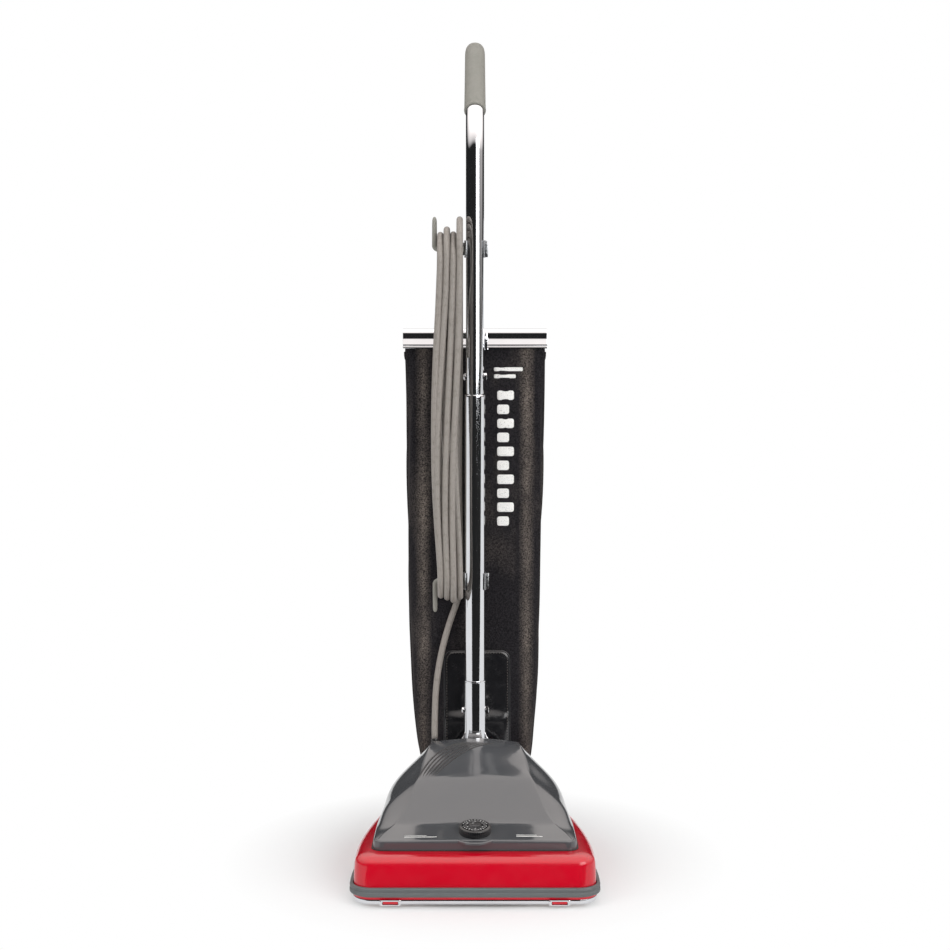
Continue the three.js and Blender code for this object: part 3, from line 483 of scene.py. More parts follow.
def bag_cloth():
    """Black twill, flecked with brown, with painted highlights along the two long folds of its front and soft
    vertical ones, weaker towards the bottom.
    """
    f = Finish("bag_twill", srgb(30, 28, 30), 0.8, Sheen_Weight=0.05, Sheen_Roughness=0.5,
               Sheen_Tint=srgb(180, 160, 145), Specular_IOR_Level=0.12)
    weave = f.stripes(1.6, (0, math.radians(52), 0), 0.6)
    flecks = f.noise(2.0, 4, rough=0.8)
    x = f.axis("X")
    # Painted highlights: a pale brown strip along each fold at x = ±74 mm, broken up by noise, and soft
    # vertical streaks.
    fold = f.product(f.product(x, 0.0, "ABSOLUTE"), 0.074, "SUBTRACT")
    ridge = f.range(f.product(fold, 0.0, "ABSOLUTE"), 0.0, 0.012, 1, 0)
    fold_highlight = f.product(ridge, f.range(f.noise(34, 3, f.stretched((1, 1, 0.5))), 0.3, 0.7, 0.25, 0.95))
    soft = f.range(f.noise(45, 3, f.stretched((1, 1, 0.4))), 0.5, 0.75, 0.0, 0.22)
    # The painted highlights weaken towards the bottom.
    upward = f.range(f.axis("Z"), 0.15, 0.5, 0.6, 1.0)
    painted_highlight = f.product(f.product(fold_highlight, soft, "ADD"), upward)
    black = f.mixed(f.range(flecks, 0.4, 0.6, 0, 1), srgb(7, 7, 11), srgb(43, 41, 44))
    # This brown is the colour of the painted highlights.
    brown = f.mixed(f.range(flecks, 0.4, 0.6, 0, 1), srgb(38, 35, 34), srgb(142, 131, 122))
    f.color(f.mixed(painted_highlight, black, brown))
    f.roughness(f.range(flecks, 0.3, 0.7, 0.66, 0.92))
    f.bump(f.noise(9, 3), 0.5, 0.35)
    return f.bump(f.product(weave, flecks), 0.5, 0.9).material


def patch_vinyl():
    f = Finish("patch_vinyl", srgb(12, 12, 14), 0.16, Coat_Weight=0.4, Coat_Roughness=0.1)
    f.color(f.mixed(f.noise(18, 4), srgb(17, 17, 20), srgb(36, 36, 38)))
    f.roughness(f.range(f.noise(9, 3), 0.35, 0.7, 0.12, 0.3))
    return f.bump(f.noise(22, 2), 1.5, 0.4).material


def thread():
    f = Finish("stitching", srgb(96, 90, 86), 0.8)
    return f.bump(f.stripes(0.8, (0, math.radians(35), 0)), 0.1).material


def white_print():
    f = Finish("white_print", srgb(232, 231, 228), 0.55)
    f.color(f.mixed(f.range(f.noise(1.2, 3), 0.55, 0.7, 0, 1), srgb(234, 233, 230), srgb(170, 168, 166)))
    return f.bump(f.noise(0.5, 2), 0.03, 0.5).material


def cord_jacket():
    f = Finish("cord_jacket", srgb(133, 127, 121), 0.5)
    grime = f.range(f.noise(7, 5, rough=0.65), 0.5, 0.75, 0, 0.6)
    f.color(f.mixed(grime, srgb(138, 132, 126), srgb(104, 97, 91)))
    f.roughness(f.range(f.noise(5, 3), 0.3, 0.7, 0.4, 0.62))
    f.bump(f.noise(1.5, 2, f.stretched((1, 1, 0.08))), 0.25, 0.5)
    return f.bump(f.noise(0.5, 2), 0.06, 0.5).material


def grip_vinyl():
    f = Finish("grip_vinyl", srgb(128, 127, 120), 0.62)
    f.color(f.mixed(f.noise(14, 4), srgb(122, 121, 114), srgb(136, 134, 127)))
    f.roughness(f.range(f.noise(4, 3), 0.3, 0.7, 0.52, 0.74))
    f.bump(f.cells(0.9), 0.1, 0.6)
    return f.bump(f.noise(0.3, 2), 0.04, 0.5).material


def turned_wood():
    f = Finish("turned_wood", srgb(182, 141, 92), 0.45)
    rings = f.noise(6, 5, f.stretched((0.08, 1, 1)), 0.6)
    f.color(f.mixed(rings, srgb(150, 108, 64), srgb(200, 160, 108)))
    f.roughness(f.range(rings, 0.3, 0.7, 0.35, 0.6))
    return f.bump(rings, 0.15, 0.5).material


def bristle_hair():
    f = Finish("bristle_hair", srgb(24, 23, 23), 0.65)
    hairs = f.noise(0.45, 2, f.stretched((1, 0.25, 0.25)))
    f.color(f.mixed(hairs, srgb(12, 12, 12), srgb(52, 49, 47)))
    return f.bump(hairs, 0.5, 0.9).material


RED = red_plastic()
GREY = grey_plastic()
BUMPER_VINYL = bumper_vinyl()
CHROME = chrome()
STEEL = brushed_metal("plated_steel", srgb(176, 178, 180), 0.28)
IRON = brushed_metal("motor_iron", srgb(120, 96, 74), 0.42)
ALUMINIUM = brushed_metal("cast_aluminium", srgb(184, 186, 188), 0.4)
BLACK = moulded_black()
KNOB_BLACK = moulded_black("knob_black", 0.12)
RUBBER = black_rubber()
CLOTH = bag_cloth()
VINYL = patch_vinyl()
THREAD = thread()
PRINT = white_print()
JACKET = cord_jacket()
GRIP_VINYL = grip_vinyl()
WOOD = turned_wood()
BRISTLE = bristle_hair()


# ---------------------------------------------------------------- camera

def make_camera():
    """At the height of the hand grip, 3.5 m in front, looking slightly down."""
    data = bpy.data.cameras.new("camera")
    data.lens = 96
    data.sensor_width = 36
    distance, height, upward = 3.486, 1.133, math.radians(80.6)
    camera = added("camera", data)
    camera.location = (0, -distance, height)
    camera.rotation_euler = (upward, 0, 0)
    bpy.context.scene.camera = camera


# ---------------------------------------------------------------- cord

CORD = 9.0
FOLD = {"y": -8.3, "low": 329.6, "high": 766.8, "inner": 3 * CORD, "outer": 4 * CORD}
COLUMNS = 4
FIRST_COLUMN = -16.8 - CORD / 2
STRAIN_TIP = on_base(-57.5, 252.5, 168)
CORD_ROUTE = [
    (-57.6, 252.8, 169.2), (-57.8, 255.8, 181), (-57.5, 260, 197), (-57, 264, 215), (-56, 268, 235),
    (-53.8, 271.5, 256), (-50.2, 274.6, 278), (-45.4, 277.4, 300), (-39.4, 280, 322), (-32.8, 282.6, 342),
    (-26.6, 284.8, 359), (-22.6, 286.3, 372.5), (-21.3, 287.2, 385.6),
]
PLUG_LEAD = [
    (-21.3, -35.3, 766.8), (-22.1, -33.8, 755), (-24.3, -29.7, 743.4), (-27.5, -24, 732), (-30.7, -18, 721),
    (-33, -14, 712), (-35, -10, 701), (-36, -8.3, 689), (-36, -8.3, 679),
]


def spread(along):
    """How far the runs part between the hooks: 0 at the folds, 1 a little below the middle."""
    t = (along - FOLD["low"]) / (FOLD["high"] - FOLD["low"])
    return math.sin(math.pi * unit(t) ** 0.85) ** 1.3


def slack(place):
    """How much further down and up a column's folds hang, as the columns aren't drawn equally tight."""
    down = 11 * (1 - place / 3) ** 1.3
    up = 22 * math.exp(-(place / 0.55) ** 2) + 8 * math.exp(-((place - 2) / 0.6) ** 2)
    return down, up


def winding_turn(turn, to_angle):
    """Points of one turn; the angle is 0 where the back run starts up and 4 where it is reached again.
    1 is the top of the back run, 2 the top of the front run and 3 the bottom of the front run."""
    layer_inner = turn >= COLUMNS
    radius = FOLD["inner"] if layer_inner else FOLD["outer"]
    column = turn if not layer_inner else 2 * COLUMNS - 1 - turn
    after = min(max(column + (-1 if layer_inner else 1), 0), COLUMNS - 1)
    points = []
    steps_per_part = 14
    for i in range(4 * steps_per_part):
        angle = i / steps_per_part
        if angle >= to_angle:
            break
        part, t = int(angle), angle % 1
        place = column + (after - column) * eased(angle - 2)
        down, up = slack(place)
        low, high = FOLD["low"] - down, FOLD["high"] + up
        if part == 0:
            y, along = radius, low + (high - low) * t
        elif part == 1:
            y, along = radius * math.cos(math.pi * t), high + radius * math.sin(math.pi * t)
        elif part == 2:
            y, along = -radius, high - (high - low) * t
        else:
            y, along = -radius * math.cos(math.pi * t), low - radius * math.sin(math.pi * t)
        wander = 0.9 * math.sin(2.1 * turn + along / 90) * spread(along)
        x = FIRST_COLUMN - CORD * place - 2.4 * spread(along) * (place + 0.4) + wander
        if layer_inner:
            x -= 2.4 * spread(along)
        lift = 1.2 * math.sin(1.7 * turn + along / 120) * spread(along) * (1 if part == 2 else 0)
        points.append(on_handle(x, FOLD["y"] + y + lift, along))
    return points


def sunk_inward(turn_points):
    """The last outer turn, which sinks towards the inner layer over its second half."""
    sunk = []
    for i, point in enumerate(turn_points):
        sink = unit((i / len(turn_points) - 0.5) / 0.5)
        local = HANDLE.inverted() @ point
        level = min(max(local.z, FOLD["low"] * MM), FOLD["high"] * MM)
        middle = Vector((local.x, FOLD["y"] * MM, level))
        sunk.append(HANDLE @ (middle + (local - middle) * (1 - 0.25 * sink)))
    return sunk


def make_cord():
    points = curve_through([STRAIN_TIP] + [on_base(*p) for p in CORD_ROUTE], 4)
    turns = 2 * COLUMNS
    for turn in range(turns):
        inward = turn == COLUMNS - 1
        last = turn == turns - 1
        piece = winding_turn(turn, 2.0 if last else 4.0)
        if inward:
            piece = sunk_inward(piece)
        points += piece
    points += curve_through([on_handle(*p) for p in PLUG_LEAD], 4)
    step = 0.006
    # The first pass cuts across the bends and so shortens its steps there; the second evens them.
    path = resample(resample(soften(points), step), step)
    cord = tube("power_cord", path, CORD / 2, 16, 180)
    cord.data.materials.append(JACKET)
    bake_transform(cord)
    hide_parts("cord_run", "cord_winding")
    return cord, path


def soften(points):
    """Evens out a path that is close to smooth, its ends staying where they are."""
    even = resample(curve_through(points, 3), 0.005)
    for _ in range(3):
        even = [even[0]] + [(a + 2 * b + c) / 4 for a, b, c in zip(even, even[1:], even[2:])] + [even[-1]]
    return even


def make_plug():
    x, y = -36, FOLD["y"]

    def ring(along, half_x, half_y, square=2.6):
        points = []
        for k in range(40):
            angle = 2 * math.pi * k / 40
            c, s = math.cos(angle), math.sin(angle)
            points.append(on_handle(
                x + half_x * math.copysign(abs(c) ** (2 / square), c),
                y + half_y * math.copysign(abs(s) ** (2 / square), s), along))
        return points

    stations = [(681, 4.7, 4.7), (680, 5.2, 5.2), (676, 5.3, 5.3), (675, 4.9, 4.9), (672, 5.0, 5.0),
                (671, 5.7, 5.7), (667, 5.9, 5.9), (666, 5.4, 5.4), (663, 5.6, 5.6), (661, 7, 6.8),
                (658.5, 11, 9.6), (656, 12.4, 10.6), (653, 12.8, 10.9)]
    for k in range(4):
        top = 650 - 4 * k
        stations += [(top, 12.3, 10.4), (top - 1, 12.3, 10.4), (top - 2, 13, 11), (top - 3, 13, 11)]
    stations += [(633, 13.3, 11.3), (631, 13.2, 11.2), (630.2, 12.6, 10.6)]
    body = loft("plug_body", [ring(*s) for s in stations], sharp=50)
    body.data.materials.append(JACKET)
    blades = []
    for side in (-1, 1):
        bx = x + side * 6.4
        outline = rounded_rectangle(y - 3, y + 3.4, 614, 631, 1.2)
        blades.append(prism("blade", outline, bx - 0.75, bx + 0.75, ACROSS_HANDLE, 0.2))
    earth = lathe("earth_pin", [(0, 612), (1.4, 612.4), (2.2, 614), (2.3, 616), (2.3, 631), (0, 631)],
                  HANDLE @ moved(x, y - 6.5, 0), 24)
    for metal in blades + [earth]:
        metal.data.materials.append(STEEL)
    plug = joined("plug_moulded", [body] + blades + [earth])
    place_piece(plug, "handle", ["plug"])
    return plug


make_camera()
cord, cord_path = make_cord()
plug = make_plug()


# ---------------------------------------------------------------- base

def base_outline(inset, z):
    """Plan outline of the base moved inwards by inset, as points at height z."""
    fine = 12
    half = 170 - inset
    corner = max(31 - inset, 8)
    rear = 331 - inset
    right = [(half * 0.45, inset)]
    for k in range(fine + 1):
        angle = math.radians(-90 + 90 * k / fine)
        right.append((half - corner + corner * math.cos(angle), inset + corner + corner * math.sin(angle)))
    side_end = (half - 27, 225)
    flank = [(half, inset + corner), (half, 105), (half - 14, 170), side_end]
    back = [side_end, (half - 40, 287), (half - 66, rear), (half - 116, rear)]
    for controls in (flank, back):
        right += bezier(controls, fine)[1:]
    left = [(-x, y) for x, y in reversed(right)]
    return [on_base(x, y, z) for x, y in right + left]


def bezier(controls, steps):
    result = []
    for k in range(steps + 1):
        t = k / steps
        weights = ((1 - t) ** 3, 3 * t * (1 - t) ** 2, 3 * t * t * (1 - t), t ** 3)
        result.append(tuple(sum(w * c[i] for w, c in zip(weights, controls)) for i in range(2)))
    return result


def base_shell():
    outside = [(12, 5.6), (12.6, 5.0), (20, 5.2), (48, 6.4), (58, 7.1), (61.5, 7.8), (64.5, 9.4), (67, 12),
               (69, 15.6), (70.3, 20), (71, 26), (71, 27)]
    inside = [(68.5, 27), (67.6, 20), (65.5, 15), (62, 11.6), (58, 10.2), (20, 8.2), (12, 8.2)]
    shell = loft("base_shell", [base_outline(inset, z) for z, inset in outside], sharp=50)
    lining = loft("lining", [base_outline(inset, z) for z, inset in reversed(inside)], sharp=50)
    # The skin and its lining meet along the bottom edge; the bottom caps go.
    bottom_z = outside[0][0] * MM
    for part in (shell, lining):
        with editing(part.data) as bm:
            caps = [face for face in bm.faces
                    if len(face.verts) > 8 and abs(face.calc_center_median().z - bottom_z) < 1e-5]
            bmesh.ops.delete(bm, geom=caps, context="FACES_ONLY")
            if part is lining:
                bmesh.ops.reverse_faces(bm, faces=bm.faces)
    body = joined("base_shell", [shell, lining])
    close_rims(body)
    smooth(body, 50)
    return dress(body, RED, "base", "red_shell", ["base_housing"])


def close_rims(piece):
    """Bridges the two open edges of a skin and its lining."""
    with editing(piece.data) as bm:
        bmesh.ops.bridge_loops(bm, edges=[e for e in bm.edges if e.is_boundary])


def rear_floor():
    """The floor under the rear half, with its wheel slots."""
    lengthwise = [((x0, 219, 12), (x1, 312, 15)) for x0, x1 in ((-104, -93), (-69, 69), (93, 104))]
    crosswise = [((-118, 219, 12.1), (118, 256, 14.9)), ((-69, 314, 12.1), (69, 322, 14.9))]
    place = Matrix.Translation((0, FRONT_Y, 0))
    strips = [block("floor_strip", low, high, 0.4, place) for low, high in lengthwise + crosswise]
    floor = joined("rear_floor", strips)
    return dress(floor, RED, "base", "red_shell")


def bumper_band():
    profile = [
        (16.3, 2.0), (16.8, 1.0), (17.8, 0.15), (19, 0), (21.6, 0), (22.3, 0.3), (22.9, 1.1), (24.3, 1.1),
        (24.9, 0.5), (25.6, 0.25), (27.4, 0.3), (28.5, 0.6), (29.2, 1.5), (29.3, 2.2), (29.3, 4.6),
        (16.3, 4.6),
    ]
    band = loft("bumper_band", [base_outline(inset, z) for z, inset in profile], closed=True, sharp=40)
    cut_behind(band, 250)
    smooth(band, 40)
    return dress(band, BUMPER_VINYL, "base", "bumper_grey", ["bumper"])


def cut_behind(piece, y):
    """Takes off what lies behind y, in millimetres, and closes the cut ends."""
    with editing(piece.data) as bm:
        everything = [*bm.verts, *bm.edges, *bm.faces]
        bmesh.ops.bisect_plane(bm, geom=everything, plane_co=on_base(0, y, 0), plane_no=(0, 1, 0),
                               clear_outer=True)
        bmesh.ops.holes_fill(bm, edges=[e for e in bm.edges if e.is_boundary])


def plate_rim():
    """The rolled chrome rim of the bottom plate, over the plate itself."""
    profile = [(5.0, 9), (4.9, 7.2), (5.3, 5.8), (6.4, 4.85), (8, 4.7), (11.2, 4.7), (11.8, 4.9), (11.8, 5.6),
               (11.2, 5.7), (8, 5.7), (6.9, 6.2), (6.5, 7.4), (6.5, 9)]
    rim = loft("plate_rim", [base_outline(inset, z) for z, inset in profile], closed=True, sharp=50)
    cut_behind(rim, 215)
    smooth(rim, 50)
    dress(rim, CHROME, "base", "chrome")
    facing = Matrix.Translation((0, FRONT_Y, 0)) @ turned(90, "X")
    for x, word in ((-114, "left"), (114, "right")):
        outer = rounded_rectangle(x - 14.5, x + 14.5, 4.9, 12.8, 2.4)
        inner = rounded_rectangle(x - 11, x + 11, 6.4, 10.9, 0.9)
        dress(ring_plate(f"latch_frame_{word}", outer, inner, -4.4, -0.6, facing), CHROME, "base", "chrome")
        outline = rounded_rectangle(x - 10.3, x + 10.3, 6.9, 10.2, 0.8)
        tab = prism(f"latch_tab_{word}", outline, -4.0, -2.2, facing, 0.4)
        dress(tab, RED, f"latch_{word}", "red_shell", [f"plate_latch_{word}"])


def ring_plate(name, outer, inner, low, high, place):
    """A flat frame between two outlines of equally many points, its upper edges eased."""
    ease = 0.5

    def ring(outline, level, growth=1.0):
        cx = sum(x for x, y in outline) / len(outline)
        cy = sum(y for x, y in outline) / len(outline)
        return [place @ Vector(((cx + (x - cx) * growth) * MM, (cy + (y - cy) * growth) * MM, level * MM))
                for x, y in outline]

    rings = [ring(outer, low + ease), ring(outer, high - ease), ring(outer, high, 1 - ease / 8),
             ring(inner, high, 1 + ease / 8), ring(inner, high - ease), ring(inner, low + ease)]
    return loft(name, rings, closed=True, sharp=40)


# ---------------------------------------------------------------- hood

HOOD = [
    (35, 84.6, 134.5, 138), (62, 89.5, 123, 137.5), (80, 94, 111, 137), (95, 107, 98, 136.5),
    (128, 143.5, 79, 135), (150, 153.5, 72.5, 133), (197, 173, 64, 127), (213, 174.5, 60.5, 124),
    (224, 171, 56, 121), (229.5, 163, 50, 118),
]
HOOD_LIP = 84.6
HOOD_FOOT = 71.3


def between(stations, y):
    """Values between stations along y, by a cubic that doesn't overshoot."""
    ys = [s[0] for s in stations]
    y = min(max(y, ys[0]), ys[-1])
    i = max(k for k in range(len(ys) - 1) if ys[k] <= y)
    t = (y - ys[i]) / (ys[i + 1] - ys[i])
    values = []
    for c in range(1, len(stations[0])):
        def slope(k):
            if k == 0 or k == len(ys) - 1:
                a, b = (0, 1) if k == 0 else (len(ys) - 2, len(ys) - 1)
                return (stations[b][c] - stations[a][c]) / (ys[b] - ys[a])
            left = (stations[k][c] - stations[k - 1][c]) / (ys[k] - ys[k - 1])
            right = (stations[k + 1][c] - stations[k][c]) / (ys[k + 1] - ys[k])
            return 0 if left * right <= 0 else 2 * left * right / (left + right)
        h = ys[i + 1] - ys[i]
        m0, m1 = slope(i) * h, slope(i + 1) * h
        p0, p1 = stations[i][c], stations[i + 1][c]
        values.append((2 * t ** 3 - 3 * t * t + 1) * p0 + (t ** 3 - 2 * t * t + t) * m0
                      + (-2 * t ** 3 + 3 * t * t) * p1 + (t ** 3 - t * t) * m1)
    return values


def hood_section(y, drop=0.0):
    """Half of the hood's section at y, from its foot up to the middle, as (x, z)."""
    crown, crease, foot = between(HOOD, y)
    corner = 13
    into = y - 35
    if into < corner:
        pull = corner - math.sqrt(max(corner ** 2 - (corner - into) ** 2, 0))
        foot -= pull
        crease = min(crease, foot - 3.5)
    top = crown - drop
    lip = min(HOOD_LIP - drop, top - 0.3)
    crease = min(crease, foot - 3)
    rise = top - lip
    bulge = max(rise - 4, 0)
    half = [(foot + 0.8, HOOD_FOOT), (foot + 1.0, HOOD_FOOT + 1), (foot + 0.6, HOOD_FOOT + 5),
            (foot, lip - 2.2), (foot - 0.5, lip - 0.9), (foot - 1.6, lip - 0.1)]
    steps = 12
    for k in range(1, steps):
        t = k / steps
        x = foot - 1.6 + (crease - foot + 1.6) * t
        z = lip + (top - 1.4 - lip) * t
        swell = bulge * (0.138 * math.sin(math.pi * t) + 0.036 * math.sin(2 * math.pi * t))
        half.append((x + swell, z))
    half += [(crease + 0.6, top - 1.0), (crease - 0.4, top - 0.55), (crease - 2.2, top - 0.2)]
    inner_steps = 10
    for k in range(1, inner_steps + 1):
        t = k / inner_steps
        half.append(((crease - 2.2) * (1 - t), top - 0.2 + hood_arch(y) * math.sin(t * math.pi / 2)))
    return half


def hood_arch(y):
    """How much the hood's top arches between its creases."""
    return 1.4 + 3.4 * eased((y - 95) / 95)


def mirrored(half):
    return [(-x, z) for x, z in reversed(half)]


def hood_rings():
    rings = []
    levels = [(35, 2.2), (35.35, 1.2), (36, 0.5), (37.2, 0.1)]
    levels += [(y, 0) for y in (39, 41, 43.5, 46, 49, 53, 57, 62, 67, 72, 76, 80, 84, 88, 92, 96, 101, 106,
                                112, 118, 123, 127, 130, 133, 138, 144, 150, 157, 165, 174, 183, 191, 198,
                                204, 209)]
    levels += [(213, 0), (217, 0), (220.5, 0), (223.5, 0), (226, 0), (227.8, 0), (229, 0), (229.5, 0.6)]
    for y, drop in levels:
        half = hood_section(y, drop)
        ring = half + mirrored(half[:-1])
        rings.append([on_base(x, y, z) for x, z in ring])
    return rings


def motor_hood():
    hood = loft("hood_shell", hood_rings(), sharp=44)
    dress(hood, GREY, "base", "hood_grey", ["motor_hood"])
    return hood


def hood_gasket():
    """The dark seal in the groove where the hood stands on the red shell."""
    half = [(0, 34.2)] + [(between(HOOD, 35)[2] * t, 34.2) for t in (0.3, 0.6, 0.8)]
    for y in (35, 35.6, 37, 40, 44, 50, 60, 75, 95, 120, 150, 180, 205, 220, 229):
        half.append((hood_section(y)[1][0] + 0.5, y))
    path = [on_base(x, y, 71.4) for x, y in half] + [on_base(-x, y, 71.4) for x, y in reversed(half[1:])]
    rings = []
    for i, point in enumerate(path):
        before, after = path[i - 1], path[(i + 1) % len(path)]
        along = (after - before).normalized()
        out = along.cross(Vector((0, 0, 1)))
        rings.append([point + out * (1.5 * MM * math.cos(angle)) + Vector((0, 0, 1.1 * MM * math.sin(angle)))
                      for angle in around(8)])
    seal = loft("hood_gasket", rings, closed=True, sharp=80)
    return dress(seal, RUBBER, "base", "black_rubber")


def hood_ribs(hood):
    """Six fine black ribs that sweep up over the left of the hood's steep face; their black is painted shade
    for the grooves of the rib band.
    """
    tree = tree_of(hood)
    ribs = []
    for k in range(6):
        low = Vector((-76.7 + 3.9 * k, 132))
        high = Vector((-10 + 7.6 * k, 201 - 0.8 * k))
        middle = Vector((-66 + 8 * k, 182 - 0.6 * k))
        points = []
        for i in range(41):
            t = i / 40
            p = low * (1 - t) ** 2 + middle * 2 * t * (1 - t) + high * t * t
            start = on_base(p.x, p.y, 260)
            hit, normal, _, _ = tree.ray_cast(start, Vector((0, 0, -1)))
            if hit is not None:
                points.append(hit - normal * 0.3 * MM)
        count = len(points)
        taper = [1.35 * min(1, 0.3 + 5 * min(i, count - 1 - i) / count) for i in range(count)]
        ribs.append(tube(f"rib_{k}", points, taper, 10, 60))
    # Black as painted shade: the dark lines stand for the shaded grooves between the hood's grey ribs.
    return assembled("hood_ribs", ribs, 60, BLACK, "base", "black_plastic")


def hood_marks(hood):
    """Plain printed bars, a pair on each side."""
    bars = [(-96, -52, 44.5, 46.2), (-96, -66, 48.6, 49.6), (56, 92, 46.5, 48.3), (56, 84, 50.5, 51.8)]
    marks = [laid_on(hood, f"mark_{i}", bar) for i, bar in enumerate(bars)]
    piece = joined("hood_marks", marks)
    return dress(piece, PRINT, "base", "hood_grey")


def laid_on(hood, name, bar):
    """A printed bar that follows the hood's top, 0.1 mm proud of it."""
    x0, x1, y0, y1 = bar
    tree = tree_of(hood)
    across, along = 24, 3
    points, faces = [], []
    for j in range(along):
        for i in range(across):
            start = on_base(x0 + (x1 - x0) * i / (across - 1), y0 + (y1 - y0) * j / (along - 1), 260)
            hit, _, _, _ = tree.ray_cast(start, Vector((0, 0, -1)))
            points.append(hit + Vector((0, 0, 0.12 * MM)))
    for j in range(along - 1):
        for i in range(across - 1):
            a = j * across + i
            faces.append((a, a + 1, a + 1 + across, a + across))
    return thickened(new_mesh(name, points, faces), 0.1)


def thickened(piece, depth_mm):
    """Gives an open sheet a thickness, so that it is a closed body."""
    with editing(piece.data) as bm:
        bmesh.ops.solidify(bm, geom=bm.faces[:], thickness=depth_mm * MM)
        bmesh.ops.recalc_face_normals(bm, faces=bm.faces)
    return piece


def knob_recess():
    """The dished ring round the knob."""
    profile = [(24.2, -2.4), (24.2, 0.2), (27, 0.15), (30.5, 0.7), (32, 1.25), (33.2, 1.1), (34.2, 0.3),
               (34.2, -2.4), (24.2, -2.4)]
    ring = lathe("knob_recess", profile, KNOB @ moved(0, 0, 0.1), 96, 50)
    return dress(ring, GREY, "base", "hood_grey")


def height_knob():
    """A knurled knob with ticks and numbers round its top."""
    teeth = 48
    sides = teeth * 4
    stations = [(7, -27, 0), (7, 0.4, 0), (20.5, 0.4, 0), (21.6, 0.9, 0.25), (22.0, 1.6, 0.5),
                (22.0, 9.4, 0.5), (21.6, 10.4, 0.25), (21.0, 11.0, 0), (20.2, 11.5, 0), (18.9, 11.9, 0),
                (17.6, 12.2, 0), (9.6, 12.3, 0), (8.8, 12.0, 0), (8.2, 11.0, 0), (7.6, 10.3, 0),
                (3.0, 10.0, 0), (0.6, 10.0, 0)]
    rings = [[polar(KNOB, radius - depth * (0.5 + 0.5 * math.cos(teeth * angle)), angle, height)
              for angle in around(sides)] for radius, height, depth in stations]
    grip = loft("knob_grip", rings, sharp=32)
    grip.data.materials.append(KNOB_BLACK)
    marks = []
    for k in range(24):
        if k in (0, 12):
            continue
        start = 13.6 if k % 4 == 0 else 15.2
        outline = [(start, -0.28), (17.0, -0.28), (17.0, 0.28), (start, 0.28)]
        marks.append(prism(f"tick_{k}", outline, 12.15, 12.45, KNOB @ turned(15 * k, "Z"), 0))
    for k in range(6):
        marks.append(number(str(k + 1), KNOB @ turned(60 * k + 30, "Z")))
    for mark in marks:
        mark.data.materials.clear()
        mark.data.materials.append(PRINT)
    piece = joined("knob_dial", [grip] + marks)
    place_piece(piece, "knob", ["height_knob"])
    return piece


def number(text, place):
    """A dial number, read from outside the dial."""
    data = bpy.data.curves.new("number", "FONT")
    data.body = text
    data.size = 3.4 * MM
    data.align_x = "CENTER"
    data.align_y = "CENTER"
    data.extrude = 0.1 * MM
    piece = added("number", data)
    turn = moved(11.8, 0, 12.35) @ turned(90, "Z")
    bpy.context.view_layer.update()
    mesh = bpy.data.meshes.new_from_object(piece)
    mesh.transform(place @ turn)
    bpy.data.objects.remove(piece)
    return added("number", mesh)


# ---------------------------------------------------------------- handle

SOCKET = {"outer": 15.5, "bolt": 127}
LOWER_TUBE = {"outer": 14.3, "low": 100.5, "neck": 572}
UPPER_TUBE = {"outer": 12.7, "low": 580.3, "bolt": 603.8, "bend": 919.3}
BEND_RADIUS = 73
BEND_ANGLE = math.radians(50)
HOOKS = {"lower_hook": (313.4, 14.3, -1), "upper_hook": (783, 12.7, 1)}
FINGER_X = -56.6


def handle_fork():
    """A flat yoke between the pivots that flows into the round socket."""
    half = 47
    outer = bezier([(half + 3, 40), (half + 3, 76), (18, 76), (15.2, 96)], 18)
    inner = bezier([(half - 3, 40), (half - 4, 64), (26, 76), (0, 81)], 18)
    right_arm = [(half - 3, -6), (half - 2, -8.2), (half, -9), (half + 2, -8.2), (half + 3, -6)] + outer
    outline = right_arm + [(-x, y) for x, y in reversed(right_arm)]
    outline += [(-x, y) for x, y in inner[:-1]] + list(reversed(inner))
    upright = HANDLE @ turned(90, "X")
    yoke = prism("yoke", outline, -8, 8, upright, 2.0, 3, 40)
    profile = [(0, 81.5), (9, 81.5), (13.4, 82.4), (15.6, 84.4), (16, 87), (15.8, 92), (15.5, 98), (15.5, 99),
               (15.5, 133), (15.5, 167.4), (15.5, 168.4), (15.8, 168.8), (16, 169.8), (15.8, 170.8),
               (14.6, 171), (14.6, 150), (0, 150)]
    socket = lathe("socket", profile, HANDLE, 72, 50)
    return assembled("handle_yoke", [yoke, socket], 45, CHROME, "handle", "chrome", ["handle_fork"])


def tube_path(upto):
    """The upper tube's line: straight, round the bend, then straight into the grip."""
    points = []
    for k in range(25):
        points.append((0, UPPER_TUBE["low"] + (UPPER_TUBE["bend"] - UPPER_TUBE["low"]) * k / 24))
    for k in range(1, 25):
        turn = BEND_ANGLE * k / 24
        points.append((BEND_RADIUS * (1 - math.cos(turn)), UPPER_TUBE["bend"] + BEND_RADIUS * math.sin(turn)))
    end = points[-1]
    for k in range(1, 7):
        reach = upto * k / 6
        points.append((end[0] + reach * math.sin(BEND_ANGLE), end[1] + reach * math.cos(BEND_ANGLE)))
    return [on_handle(0, y, along) for y, along in points], end


